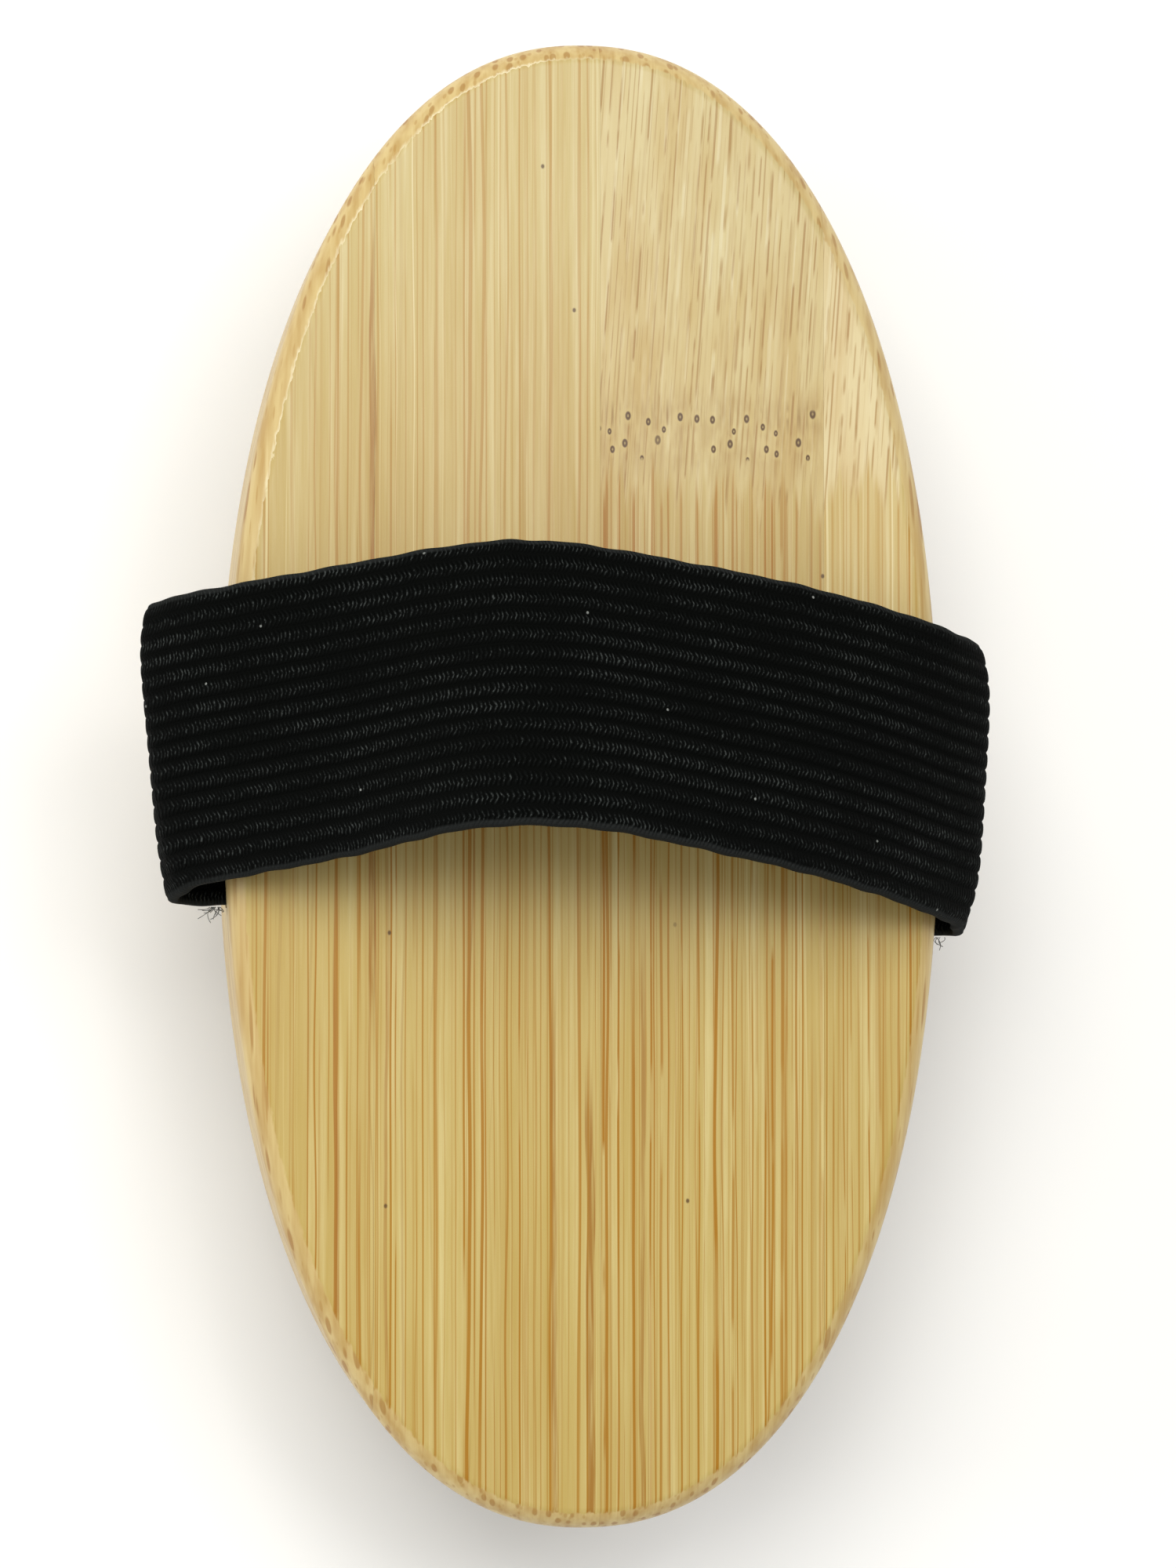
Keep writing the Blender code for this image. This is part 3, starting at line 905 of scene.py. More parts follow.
@dataclass(frozen=True)
class TackSteel:
    """Drawn steel wire with a headed end, bright with faint die lines and a few dull specks."""

    dull: str = "#8F9294"
    bright: str = "#C9CBCC"

    def make(self) -> bpy.types.Material:
        """Builds the tacks' material.

        Returns:
            The material.
        """
        material, tree, shader = new_material("bright_drawn_steel_wire")
        place = add_node(tree, "TexCoord")["Object"]
        # Die lines are some 0.01 mm apart on the wire, and are drawn ten times as coarse.
        across, along = 1 / (0.1 * MM), 1 / (1.5 * MM)
        drawn = {"Vector": place, "Scale": (across, across, along)}
        lines = add_node(tree, "Mapping", drawn)[0]
        wear = add_node(tree, "TexNoise", {"Vector": lines, "Scale": 1.0, "Detail": 3.0})[0]
        stops = ((0.35, linear(self.dull)), (0.65, linear(self.bright)))
        colour = add_node(tree, "ValToRGB", (wear,), stops)[0]
        tree.links.new(colour, shader.inputs["Base Color"])
        rough = add_node(tree, "MapRange", (wear, 0.3, 0.7, 0.22, 0.45))[0]
        tree.links.new(rough, shader.inputs["Roughness"])
        shader.inputs["Metallic"].default_value = 1.0
        return material


# Modelling helpers -------------------------------------------------------------------------------


def select_only(*objects: bpy.types.Object) -> None:
    """Leaves only these objects selected, with the first one active.

    Args:
        *objects: the objects.
    """
    bpy.ops.object.select_all(action="DESELECT")
    for obj in objects:
        obj.select_set(True)
    bpy.context.view_layer.objects.active = objects[0]


def select_vertices(obj: bpy.types.Object, wanted: Callable[[Vector], bool]) -> None:
    """In edit mode, selects some vertices and the edges and faces between them.

    Args:
        obj: the object that is being edited.
        wanted: tells from a vertex's place whether it is selected.
    """
    bpy.ops.mesh.select_mode(type="VERT")
    bpy.ops.mesh.select_all(action="DESELECT")
    mesh = bmesh.from_edit_mesh(obj.data)
    for vertex in mesh.verts:
        if wanted(vertex.co):
            vertex.select = True
    mesh.select_flush(True)
    bmesh.update_edit_mesh(obj.data)


def apply_all(obj: bpy.types.Object) -> None:
    """Applies every modifier of an object.

    Args:
        obj: the object.
    """
    select_only(obj)
    for modifier in list(obj.modifiers):
        bpy.ops.object.modifier_apply(modifier=modifier.name)


def boolean(obj: bpy.types.Object, tool: bpy.types.Object, cut: Cut) -> None:
    """Keeps or takes away what a tool object covers, and removes the tool.

    Args:
        obj: the piece that is cut.
        tool: the object that it is cut with.
        cut: which of the two happens.
    """
    modifier = obj.modifiers.new("cut", "BOOLEAN")
    modifier.operation = cut.value
    modifier.object = tool
    modifier.solver = "EXACT"
    apply_all(obj)
    bpy.data.objects.remove(tool, do_unlink=True)


def finish_piece(
    obj: bpy.types.Object, material: bpy.types.Material, smooth_deg: float = 30.0
) -> None:
    """Gives a piece its material and its smooth shading.

    Args:
        obj: the piece.
        material: its finish.
        smooth_deg: the widest angle between two faces that is shaded smooth.
    """
    obj.data.materials.clear()
    obj.data.materials.append(material)
    select_only(obj)
    bpy.ops.object.shade_smooth_by_angle(angle=math.radians(smooth_deg))


# Block -------------------------------------------------------------------------------------------


@dataclass
class Block:
    """The bamboo block: four glued strips on a drilled bristle board.

    Attributes:
        tufts: the CAD nodes of the tufts, which get a hole each.
        oval_power: how square the oval outline is; 2 would be an ellipse.
        edge_round, round_profile: the size and shape of the rounded rim.
        hole_clearance: the room over a tuft's root in its hole.
        slots: the side and the middle's Y of each slot for a strap's end.
        slot_depth: how far a slot goes in.
        slot_reach: half a slot's length.
        slot_half_height: half the height of the tool that cuts it.
    """

    tufts: list[str]
    outline_points: int = 288
    oval_power: float = 2.2
    edge_round: float = 2.0 * MM
    round_profile: float = 0.42
    round_segments: int = 8
    glue_line: float = 0.01 * MM
    hole_points: int = 28
    hole_radius: float = 2.8 * MM
    hole_clearance: float = 0.15 * MM
    slots: tuple[tuple[int, float], ...] = ((-1, 1.9 * MM), (1, -0.9 * MM))
    slot_depth: float = 11.5 * MM
    slot_reach: float = 12.9 * MM
    slot_half_height: float = 2.0 * MM

    def __post_init__(self) -> None:
        """Reads the block's extents off the frame."""
        low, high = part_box(BOARD)
        self.half_width, self.half_length = high[0], high[1]
        self.bottom, self.board_top = low[2], high[2]
        strip_low, strip_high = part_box(STRIPS[1])
        self.top = strip_high[2]
        self.layer_line = (self.board_top + strip_low[2]) / 2

    def plate(self, name: str, bottom: float, top: float, round_level: float) -> bpy.types.Object:
        """Models a plate with the block's oval outline and one rounded rim.

        Args:
            name: the object's name.
            bottom: the level of its lower face.
            top: the level of its upper face.
            round_level: the level of the rim that is rounded.

        Returns:
            The plate.
        """
        bpy.ops.object.select_all(action="DESELECT")
        bpy.ops.mesh.primitive_circle_add(
            vertices=self.outline_points, radius=1, fill_type="NGON", location=(0, 0, 0)
        )
        plate = bpy.context.object
        plate.name = name
        for vertex in plate.data.vertices:
            angle = math.atan2(vertex.co.y, vertex.co.x)
            x, y = (
                math.copysign(abs(part) ** (2 / self.oval_power), part)
                for part in (math.cos(angle), math.sin(angle))
            )
            vertex.co = (x * self.half_width, y * self.half_length, bottom)
        bpy.ops.object.mode_set(mode="EDIT")
        bpy.ops.mesh.select_all(action="SELECT")
        bpy.ops.mesh.extrude_region_move(TRANSFORM_OT_translate={"value": (0, 0, top - bottom)})
        select_vertices(plate, lambda place: abs(place.z - round_level) < 0.1 * MM)
        bpy.ops.mesh.bevel(
            offset=self.edge_round,
            segments=self.round_segments,
            profile=self.round_profile,
            affect="EDGES",
        )
        bpy.ops.mesh.select_all(action="SELECT")
        bpy.ops.mesh.normals_make_consistent(inside=False)
        bpy.ops.object.mode_set(mode="OBJECT")
        return plate

    def box_tool(self, low: Triple, high: Triple) -> bpy.types.Object:
        """Adds a box to cut with.

        Args:
            low: its lowest corner.
            high: its highest corner.

        Returns:
            The box.
        """
        low, high = Vector(low), Vector(high)
        bpy.ops.object.select_all(action="DESELECT")
        bpy.ops.mesh.primitive_cube_add(size=1, location=(low + high) / 2)
        tool = bpy.context.object
        tool.scale = high - low
        bpy.ops.object.transform_apply(location=True, rotation=False, scale=True)
        return tool

    def finishes(self) -> tuple[Bamboo, ...]:
        """Chooses the strips' finishes, from left to right.

        Returns:
            One finish for each strip.
        """
        left_glue = Streak(-19.2, 0.45, -20, 48, 0.9)
        middle_glue = Streak(0.2, 0.7, -70, -28, 0.9)
        red = "#A4702A"
        outer_left = Bamboo(
            "bamboo_sawn_edge_outer_left",
            self.layer_line,
            shift=2.3,
            streaks=(left_glue, Streak(-22.4, 0.4, -60, -10, 0.6, red)),
        )
        inner_left = Bamboo(
            "bamboo_sawn_edge_inner_left",
            self.layer_line,
            shift=7.9,
            streaks=(
                left_glue,
                Streak(-17.9, 0.3, -60, -5, 0.6, red),
                middle_glue,
                Streak(-3.0, 0.5, -70, -20, 0.7),
            ),
        )
        inner_right = Bamboo(
            "bamboo_pressed_face_with_node",
            self.layer_line,
            Grain.PRESSED_FACE,
            shift=13.1,
            node_mm=(28.9, 33.4),
            dense_from_mm=46.0,
            ochre_amount=1.0,
            streaks=(middle_glue, Streak(4.9, 0.4, -70, -15, 0.7)),
        )
        outer_right = Bamboo(
            "bamboo_pressed_face_outer_right",
            self.layer_line,
            Grain.PRESSED_FACE,
            shift=19.7,
            dashes_from_mm=33.0,
            brown_amount=0.25,
            face="#DACDA4",
            face_tan="#CDB888",
            # Painted sheen: this strip's tint turns whiter towards the rear, where the window's
            # reflection falls on the block's right side.
            depth=("#F2ECCA", "#F1EACE", "#FBF8EE", "#F6F4EC"),
        )
        return outer_left, inner_left, inner_right, outer_right

    def build_strips(self) -> None:
        """Cuts the upper plate into its four strips along the glue lines."""
        edges = [-2 * self.half_width]
        for left, right in zip(STRIPS, STRIPS[1:]):
            edges.append((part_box(left)[1][0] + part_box(right)[0][0]) / 2)
        edges.append(2 * self.half_width)
        reach = 2 * self.half_length
        for node, finish, left, right in zip(STRIPS, self.finishes(), edges, edges[1:]):
            strip = self.plate(f"{node}_planed", self.layer_line, self.top, self.top)
            low = (left + self.glue_line / 2, -reach, 0)
            high = (right - self.glue_line / 2, reach, 2 * self.top)
            boolean(strip, self.box_tool(low, high), Cut.KEEP_INSIDE)
            finish_piece(strip, finish.make())
            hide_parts(node)
            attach(strip, BLOCK_BODY)
            log.info("%s: glued strip of the top layer", strip.name)

    def build_board(self) -> None:
        """Models the lower board with its rounded rim, tuft holes and strap slots."""
        board = self.plate(
            "bristle_board_drilled", self.bottom, self.layer_line - self.glue_line, self.bottom
        )
        for node in self.tufts:
            low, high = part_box(node)
            x, y = (low[0] + high[0]) / 2, (low[1] + high[1]) / 2
            self.drill(board, x, y, high[2] + self.hole_clearance)
        self.cut_slots(board)
        finish = Bamboo(
            "bamboo_board_sawn_edge",
            self.layer_line,
            shift=31.3,
            ochre_amount=0.6,
            brown_amount=0.2,
        )
        finish_piece(board, finish.make())
        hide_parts(BOARD)
        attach(board, BLOCK_BODY)
        log.info("%s: board with %d tuft holes", board.name, len(self.tufts))

    def drill(self, board: bpy.types.Object, x: float, y: float, top: float) -> None:
        """Drills one blind tuft hole from below.

        Args:
            board: the board.
            x: the hole's middle across the block.
            y: its middle along the block.
            top: the level of its blind end.
        """
        bpy.ops.object.select_all(action="DESELECT")
        bottom = self.bottom - 2 * MM
        bpy.ops.mesh.primitive_cylinder_add(
            vertices=self.hole_points,
            radius=self.hole_radius,
            depth=top - bottom,
            location=(x, y, (top + bottom) / 2),
        )
        bpy.ops.object.transform_apply(location=True, rotation=False, scale=False)
        boolean(board, bpy.context.object, Cut.TAKE_AWAY)

    def cut_slots(self, board: bpy.types.Object) -> None:
        """Cuts the two slots that take the strap's ends.

        Args:
            board: the board.
        """
        inner, outer = self.half_width - self.slot_depth, self.half_width + self.slot_depth
        for side, centre in self.slots:
            left, right = sorted((side * inner, side * outer))
            low = (left, centre - self.slot_reach, self.board_top - self.slot_half_height)
            high = (right, centre + self.slot_reach, self.board_top + self.slot_half_height)
            boolean(board, self.box_tool(low, high), Cut.TAKE_AWAY)


# Strap -------------------------------------------------------------------------------------------


@dataclass
class Strap:
    """The elastic hand strap, a knitted band swept along its slack loop.

    Attributes:
        slot_depth, left_slot_y, right_slot_y: where the ends lie in the block's slots.
        left_bow, right_bow: how far the loop stands out from each side of the block.
        left_twist, right_twist: how the band turns as it leaves each side.
        left_flop, right_flop: how late each half leans towards the rear.
        selvage_pull: how far the selvages draw inwards half way up.
        shoulder_lift: the height of the loop's shoulders over the wood.
        crown_height, crown_x, crown_shift, crown_roll: where the crown lies and how it leans.
        skew_from: the share of the loop at each end that stays in line with its slot.
    """

    width: float = 25.4 * MM
    thickness: float = 1.4 * MM
    slot_depth: float = 11.5 * MM
    left_slot_y: float = 1.9 * MM
    right_slot_y: float = -0.9 * MM
    left_bow: float = 6.1 * MM
    right_bow: float = 3.2 * MM
    left_twist: float = math.radians(11)
    right_twist: float = math.radians(-6.5)
    left_flop: float = 1.35
    right_flop: float = 1.7
    selvage_pull: float = 1.3 * MM
    shoulder_lift: float = 2.2 * MM
    crown_height: float = 16.8 * MM
    crown_x: float = -8.0 * MM
    crown_shift: float = 7.7 * MM
    crown_roll: float = math.radians(15)
    skew_from: float = 0.2
    rib: float = 1.6 * MM
    rib_depth: float = 0.17 * MM
    selvage_round: float = 0.35 * MM
    rib_steps: int = 6
    steps: int = 260
    left_frays: int = 16
    right_frays: int = 6
    filament_radius: float = 0.03 * MM

    def __post_init__(self) -> None:
        """Reads the levels that the strap is fitted to off the frame."""
        self.half_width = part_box(BOARD)[1][0]
        self.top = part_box(STRIPS[1])[1][2]
        self.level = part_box(STRAP)[0][2] + self.thickness / 2

    def side_points(self, side: int, bow: float) -> list[tuple[float, float]]:
        """Finds the path from the strap's end in a slot to over the block's side.

        Args:
            side: -1 for the left side, 1 for the right.
            bow: how far the loop stands out.

        Returns:
            The (x, z) points, from the slot upwards.
        """
        low = self.level
        rise = self.top + self.shoulder_lift - low
        inner = self.half_width - self.slot_depth + 0.3 * MM
        return [
            (side * inner, low),
            (side * (self.half_width + inner) / 2, low),
            (side * (self.half_width - 0.3 * MM), low),
            (side * (self.half_width + 0.1 * bow), low),
            (side * (self.half_width + 0.75 * bow), low + 0.13 * rise),
            (side * (self.half_width + bow), low + 0.5 * rise),
            (side * (self.half_width + 0.68 * bow), low + 0.88 * rise),
        ]

    def path(self) -> list[Vector]:
        """Draws the strap's middle line.

        Returns:
            Its points, in even steps along a smooth curve.
        """
        crown = self.crown_height
        left_reach, right_reach = self.half_width + self.crown_x, self.half_width - self.crown_x
        arch = [
            (self.crown_x - 0.66 * left_reach, self.top + 0.54 * crown),
            (self.crown_x, self.top + crown),
            (self.crown_x + 0.48 * right_reach, self.top + 0.80 * crown),
            (self.crown_x + 0.82 * right_reach, self.top + 0.48 * crown),
        ]
        left = self.side_points(-1, self.left_bow)
        right = self.side_points(1, self.right_bow)[::-1]
        return smooth_path([Vector((x, 0, z)) for x, z in left + arch + right], self.steps)

    def section(self) -> list[tuple[float, float]]:
        """Draws the band's cross-section: ribs above and below, and round selvages.

        Returns:
            Its (across, height) points.
        """
        ribs = round(self.width / self.rib)
        count = ribs * self.rib_steps
        flat = self.width / 2 - self.selvage_round
        upper = []
        for i in range(count + 1):
            turn = i / self.rib_steps
            bulge = math.sqrt(max(0.0, 1 - (2 * (turn % 1.0) - 1) ** 2))
            height = self.thickness / 2 - self.rib_depth * (1 - bulge)
            upper.append((flat * (2 * i / count - 1), height))
        side = self.thickness / 2 - 0.1 * MM
        edge = [
            (flat + self.selvage_round * math.cos(a), side * math.sin(a))
            for a in (math.radians(d) for d in (60, 30, 0, -30, -60))
        ]
        lower = [(a, -h) for a, h in reversed(upper)]
        return upper + edge + lower + [(-a, -h) for a, h in edge]

    def frame_at(self, path: list[Vector], index: int) -> tuple[Vector, Vector, Vector, float]:
        """Sets the section's place and turn at one step of the path.

        Args:
            path: the middle line.
            index: the step.

        Returns:
            The middle point, the outward normal, the direction across and the selvages' pull.
        """
        here = path[index]
        along = path[min(index + 1, self.steps)] - path[max(index - 1, 0)]
        normal = Vector((-along.z, 0, along.x)).normalized()
        lift = (here.z - self.level) / (self.top + self.crown_height - self.level)
        lift = min(max(lift, 0.0), 1.0)
        share = (index / self.steps - self.skew_from) / (1 - 2 * self.skew_from)
        share = min(max(share, 0.0), 1.0)
        left = here.x < self.crown_x
        flop = self.left_flop if left else self.right_flop
        twist = self.left_twist if left else self.right_twist
        y = self.left_slot_y + share * (self.right_slot_y - self.left_slot_y)
        y += self.crown_shift * lift**flop
        roll = self.crown_roll * lift**2
        twist *= math.sin(math.pi * lift)
        level = Vector((-math.sin(twist), math.cos(twist), 0))
        across = level * math.cos(roll) - normal * math.sin(roll)
        tangent = Vector((along.x, 0, along.z)).normalized()
        outward = tangent.cross(across).normalized()
        pull = self.selvage_pull * math.sin(math.pi * min(1.0, 2 * lift)) ** 2
        return here + Vector((0, y, 0)), outward, across, pull

    def sweep(self, path: list[Vector]) -> bpy.types.Object:
        """Rolls a grid round the section, sweeps it along the path and maps it.

        Args:
            path: the middle line.

        Returns:
            The band, open along one edge and at its ends.
        """
        section = self.section()
        around = len(section)
        bpy.ops.object.select_all(action="DESELECT")
        bpy.ops.mesh.primitive_grid_add(
            x_subdivisions=self.steps, y_subdivisions=around, size=1, calc_uvs=False
        )
        strap = bpy.context.object
        strap.name = "elastic_strap_knitted"
        frames = [self.frame_at(path, i) for i in range(self.steps + 1)]
        mesh = strap.data
        grid = [
            (round((v.co.x + 0.5) * self.steps), round((v.co.y + 0.5) * around))
            for v in mesh.vertices
        ]
        for vertex, (index, turn) in zip(mesh.vertices, grid):
            middle, normal, across, pull = frames[index]
            side, height = section[turn % around]
            ripple = 1 + 0.006 * math.sin(index * 0.61) * math.sin(index * 0.173)
            height -= pull * abs(2 * side / self.width) ** 5
            vertex.co = middle + across * side * ripple + normal * height
        layer = mesh.uv_layers.new(name=STRAP_UV)
        for loop in mesh.loops:
            index, turn = grid[loop.vertex_index]
            side = section[turn % around][0]
            layer.data[loop.index].uv = (index / self.steps, side / self.width + 0.5)
        return strap

    def close(self, strap: bpy.types.Object) -> None:
        """Merges the band's open edge, caps its two ends and turns its faces outwards.

        Args:
            strap: the swept band.
        """
        select_only(strap)
        bpy.ops.object.mode_set(mode="EDIT")
        bpy.ops.mesh.select_all(action="SELECT")
        bpy.ops.mesh.remove_doubles(threshold=0.001 * MM)
        bpy.ops.mesh.select_all(action="DESELECT")
        bpy.ops.mesh.select_non_manifold(use_wire=False, use_multi_face=False, use_verts=False)
        bpy.ops.mesh.edge_face_add()
        bpy.ops.mesh.select_all(action="SELECT")
        bpy.ops.mesh.normals_make_consistent(inside=False)
        bpy.ops.object.mode_set(mode="OBJECT")

    def build(self) -> None:
        """Builds the band, gives it its finish and frays its ends."""
        path = self.path()
        strap = self.sweep(path)
        self.close(strap)
        length = sum((b - a).length for a, b in zip(path, path[1:]))
        finish = WovenElastic(length, self.width)
        finish_piece(strap, finish.make(), 60.0)
        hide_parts(STRAP)
        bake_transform(strap)
        log.info("%s: %.0f mm of elastic between the two slots", strap.name, length / MM)
        self.build_frays()

    def build_frays(self) -> None:
        """Teases a few loose filaments out of the band's front corner at each slot."""
        draw = random.Random(7)
        yarns = []
        left = (-1, self.left_slot_y, self.left_frays)
        right = (1, self.right_slot_y, self.right_frays)
        for side, slot_y, count in (left, right):
            for _ in range(count):
                x = side * (self.half_width + draw.uniform(0.2, 1.5) * MM)
                z = self.level + draw.uniform(-0.4, 0.5) * MM
                start = Vector((x, slot_y - self.width / 2 - 0.12 * MM, z))
                way = Vector((side * draw.uniform(-0.5, 0.9), -draw.uniform(0.4, 1.0), 0.0))
                way = way.normalized() * draw.uniform(0.4, 1.5) * MM
                curl = Vector((draw.uniform(-1, 1), draw.uniform(-0.4, 0.2), draw.uniform(-1, 1)))
                yarns.append(self.yarn(start, way, curl * 0.6 * MM))
        select_only(*yarns)
        bpy.ops.object.join()
        frays = yarns[0]
        frays.name = "elastic_strap_frayed_ends"
        finish_piece(frays, LooseYarn().make(), 80.0)
        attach(frays, BLOCK_BODY)
        log.info("%s: %d loose filaments", frays.name, len(yarns))

    def yarn(self, start: Vector, way: Vector, curl: Vector) -> bpy.types.Object:
        """Draws one curled filament as a thin closed tube.

        Args:
            start: where it leaves the band.
            way: from its start to its end.
            curl: how far its middle is pushed aside.

        Returns:
            The filament.
        """
        bpy.ops.object.select_all(action="DESELECT")
        bpy.ops.curve.primitive_nurbs_path_add(radius=1, location=(0, 0, 0))
        path = bpy.context.object
        spline = path.data.splines[0]
        count = len(spline.points)
        for i, point in enumerate(spline.points):
            t = i / (count - 1)
            place = start + way * t + curl * math.sin(math.pi * 1.5 * t) * t
            point.co = (*place, 1.0)
        path.data.bevel_depth = self.filament_radius
        path.data.bevel_resolution = 1
        path.data.resolution_u = 4
        path.data.use_fill_caps = True
        bpy.ops.object.convert(target="MESH")
        return bpy.context.object


def smooth_path(points: list[Vector], steps: int) -> list[Vector]:
    """Spaces points evenly along a smooth curve through the given ones.

    Args:
        points: the points that the curve passes.
        steps: how many steps to divide it in.

    Returns:
        steps + 1 points.
    """
    fine = 24
    dense = []
    for i in range(len(points) - 1):
        before, start = points[max(i - 1, 0)], points[i]
        end, after = points[i + 1], points[min(i + 2, len(points) - 1)]
        for t in (k / fine for k in range(fine)):
            dense.append(
                (2 * t**3 - 3 * t**2 + 1) * start
                + (t**3 - 2 * t**2 + t) * (end - before) / 2
                + (3 * t**2 - 2 * t**3) * end
                + (t**3 - t**2) * (after - start) / 2
            )
    dense.append(points[-1])
    gaps = [(b - a).length for a, b in zip(dense, dense[1:])]
    walked = np.concatenate([[0.0], np.cumsum(gaps)])
    wanted = np.linspace(0, walked[-1], steps + 1)
    axes = [np.interp(wanted, walked, [p[axis] for p in dense]) for axis in range(3)]
    return [Vector(p) for p in zip(*axes)]


# Tufts -------------------------------------------------------------------------------------------


@dataclass
class Tufts:
    """The bristle tufts: a bundle of separate tapered strands in each hole.

    Attributes:
        nodes: the CAD nodes that the bundles replace.
        strand_radius: a strand's radius at its root. Real ones are half as thick and far more,
            and would be too fine to show.
        root_radius: the bundle's radius in its hole.
        taper: the share of its radius that a strand loses towards its tip.
        stray: how far a tip strays sideways.
        uneven_mm: how much shorter than the longest a strand may be.
    """

    nodes: list[str]
    strands: int = 150
    strand_radius: float = 0.17 * MM
    root_radius: float = 2.45 * MM
    root_inset: float = 1.0 * MM
    tip_inset: float = 0.4 * MM
    taper: float = 0.35
    stray: float = 0.35 * MM
    uneven_mm: float = 0.35
    levels: int = 4

    def strand(self, mesh: bmesh.types.BMesh, root: Vector, tip: Vector, bend: Vector) -> None:
        """Adds one three-sided strand, bent and tapered from its root to its tip.

        Args:
            mesh: the bundle's mesh.
            root: the middle of the strand's upper end.
            tip: the middle of its lower end.
            bend: how far its middle is pushed aside.
        """
        rings = []
        for level in range(self.levels):
            t = level / (self.levels - 1)
            middle = root.lerp(tip, t) + bend * (4 * t * (1 - t))
            radius = self.strand_radius * (1 - self.taper * t)
            ring = [
                mesh.verts.new(middle + Vector((math.cos(a), math.sin(a), 0)) * radius)
                for a in (0.0, 2 * math.pi / 3, 4 * math.pi / 3)
            ]
            rings.append(ring)
        mesh.faces.new(rings[0])
        mesh.faces.new(rings[-1][::-1])
        for upper, lower in zip(rings, rings[1:]):
            for k in range(3):
                nxt = (k + 1) % 3
                mesh.faces.new((upper[k], lower[k], lower[nxt], upper[nxt]))

    def bundle(self, low: Triple, high: Triple, seed: int) -> bmesh.types.BMesh:
        """Bundles one tuft's strands in a sunflower pattern.

        Args:
            low: the lowest corner of the tuft's box.
            high: its highest corner.
            seed: what the tuft's random draws start from.

        Returns:
            The bundle's mesh.
        """
        mouth_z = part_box(BOARD)[0][2]
        centre = Vector(((low[0] + high[0]) / 2, (low[1] + high[1]) / 2, 0))
        tip_radius = (high[0] - low[0]) / 2
        golden_angle = math.pi * (3 - math.sqrt(5))
        draw = random.Random(seed)
        mesh = bmesh.new()
        for k in range(self.strands):
            turn = k * golden_angle
            reach = math.sqrt((k + 0.5) / self.strands)
            way = Vector((math.cos(turn), math.sin(turn), 0))
            stray = Vector((draw.uniform(-1, 1), draw.uniform(-1, 1), 0)) * self.stray
            root = centre + way * reach * (self.root_radius - self.strand_radius)
            root.z = high[2] - self.root_inset
            tip = centre + way * reach * (tip_radius - self.tip_inset) + stray
            tip.z = low[2] + draw.uniform(0.0, self.uneven_mm) * MM
            mouth = root.copy()
            mouth.z = mouth_z
            bend = (mouth - root.lerp(tip, 0.25)) * 0.6
            bend.z = 0
            self.strand(mesh, root, tip, bend)
        bmesh.ops.recalc_face_normals(mesh, faces=mesh.faces)
        return mesh

    def build(self) -> None:
        """Makes every tuft's bundle a piece of its own."""
        finish = NaturalBristle(0.0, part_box(BOARD)[0][2]).make()
        for number, node in enumerate(self.nodes):
            mesh = self.bundle(*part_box(node), seed=100 + number)
            data = bpy.data.meshes.new(f"{node}_strands")
            mesh.to_mesh(data)
            mesh.free()
            tuft = bpy.data.objects.new(f"{node}_strands", data)
            bpy.context.scene.collection.objects.link(tuft)
            finish_piece(tuft, finish, 80.0)
            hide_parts(node)
            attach(tuft, BLOCK_BODY)
        log.info("%d tufts of %d strands", len(self.nodes), self.strands)


# Studio ------------------------------------------------------------------------------------------


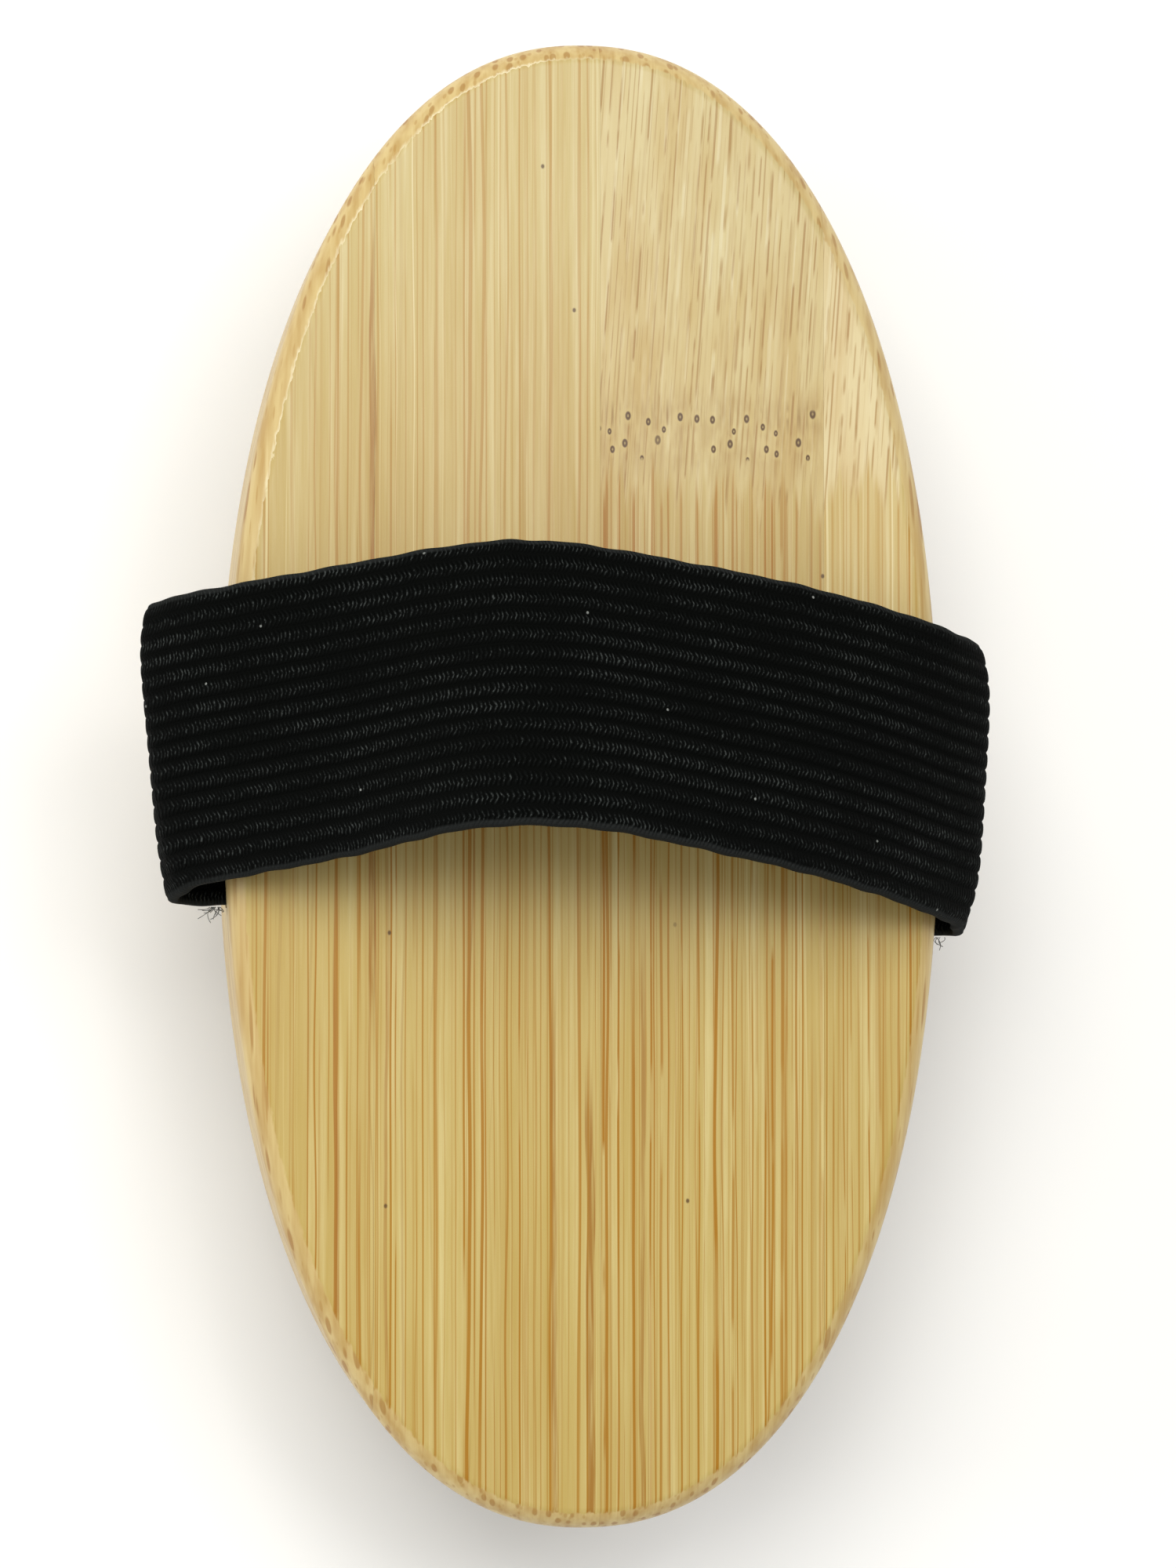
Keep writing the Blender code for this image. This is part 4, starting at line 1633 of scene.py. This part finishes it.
@dataclass
class Studio:
    """The camera above the brush, the pale floor and the soft lights.

    Attributes:
        target: the point that the camera and the lights face.
        distance: the camera's height over it.
        from_left, from_front: how far the camera is from straight above it.
        frame_height: the height of what the camera takes in at the target.
    """

    target: Vector
    distance: float = 430 * MM
    from_left: float = 53 * MM
    from_front: float = 8 * MM
    frame_height: float = 139 * MM
    sensor_height_mm: float = 24.0
    floor_size: float = 6.0
    world_light: float = 0.56

    def add_camera(self) -> None:
        """Places the camera almost straight above the strap, a little to the left."""
        place = self.target + Vector((-self.from_left, -self.from_front, self.distance))
        data = bpy.data.cameras.new("camera")
        data.sensor_fit = "VERTICAL"
        data.sensor_height = self.sensor_height_mm
        away = (place - self.target).length
        data.lens = data.sensor_height * away / self.frame_height
        data.clip_start = 0.01
        camera = bpy.data.objects.new("camera", data)
        bpy.context.scene.collection.objects.link(camera)
        back = (place - self.target).normalized()
        right = Vector((0, 1, 0)).cross(back).normalized()
        up = back.cross(right)
        turn = Matrix((right, up, back)).transposed()
        camera.matrix_world = Matrix.Translation(place) @ turn.to_4x4()
        bpy.context.scene.camera = camera

    def add_light(self, name: str, place: Triple, size: float, power: float, colour: str) -> None:
        """Adds a square soft light that faces the brush.

        Args:
            name: the light's name.
            place: where it stands.
            size: its width and height.
            power: its power in watts.
            colour: its sRGB hex colour.
        """
        data = bpy.data.lights.new(name, "AREA")
        data.shape = "SQUARE"
        data.size = size
        data.energy = power
        data.color = linear(colour)[:3]
        light = bpy.data.objects.new(name, data)
        light.location = place
        light.rotation_euler = (self.target - Vector(place)).to_track_quat("-Z", "Y").to_euler()
        bpy.context.scene.collection.objects.link(light)

    def build(self) -> None:
        """Adds the floor, the lights and the world's fill."""
        bpy.ops.object.select_all(action="DESELECT")
        bpy.ops.mesh.primitive_plane_add(size=self.floor_size, location=(0, 0, 0))
        floor = bpy.context.object
        floor.name = "studio_floor"
        material, _, shader = new_material("matt_white_paper_sweep")
        shader.inputs["Base Color"].default_value = linear("#F7F7F5")
        shader.inputs["Roughness"].default_value = 0.9
        floor.data.materials.append(material)
        self.add_light("key_softbox", (-0.2, 0.46, 1.0), 0.6, 6.6, "#FFFDF8")
        self.add_light("left_strip", (-0.8, 0.1, 0.45), 0.4, 1.6, "#FFFFFF")
        self.add_light("window", (0.24, 0.24, 0.9), 0.32, 1.8, "#FBFCFF")
        world = bpy.data.worlds.new("studio_world")
        world.use_nodes = True
        background = world.node_tree.nodes["Background"]
        background.inputs["Color"].default_value = linear("#FFFFFF")
        background.inputs["Strength"].default_value = self.world_light
        bpy.context.scene.world = world
        bpy.context.scene.view_settings.view_transform = "Standard"


# Build -------------------------------------------------------------------------------------------


def main() -> None:
    """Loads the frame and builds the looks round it."""
    logging.basicConfig(level=logging.INFO, format="%(message)s")
    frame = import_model()
    studio = Studio(Vector((0, 0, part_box(STRIPS[1])[1][2])))
    studio.add_camera()
    tufts = sorted(name for name in frame["nodes"] if name.startswith("bristle_tuft"))
    block = Block(tufts)
    block.build_strips()
    block.build_board()
    Strap().build()
    Tufts(tufts).build()
    steel = TackSteel().make()
    for name, node in frame["nodes"].items():
        if name.startswith("strap_tack"):
            node.data.materials.clear()
            node.data.materials.append(steel)
            log.info("%s: steel tack in the strap's end", name)
    studio.build()


if __name__ == "__main__":
    main()
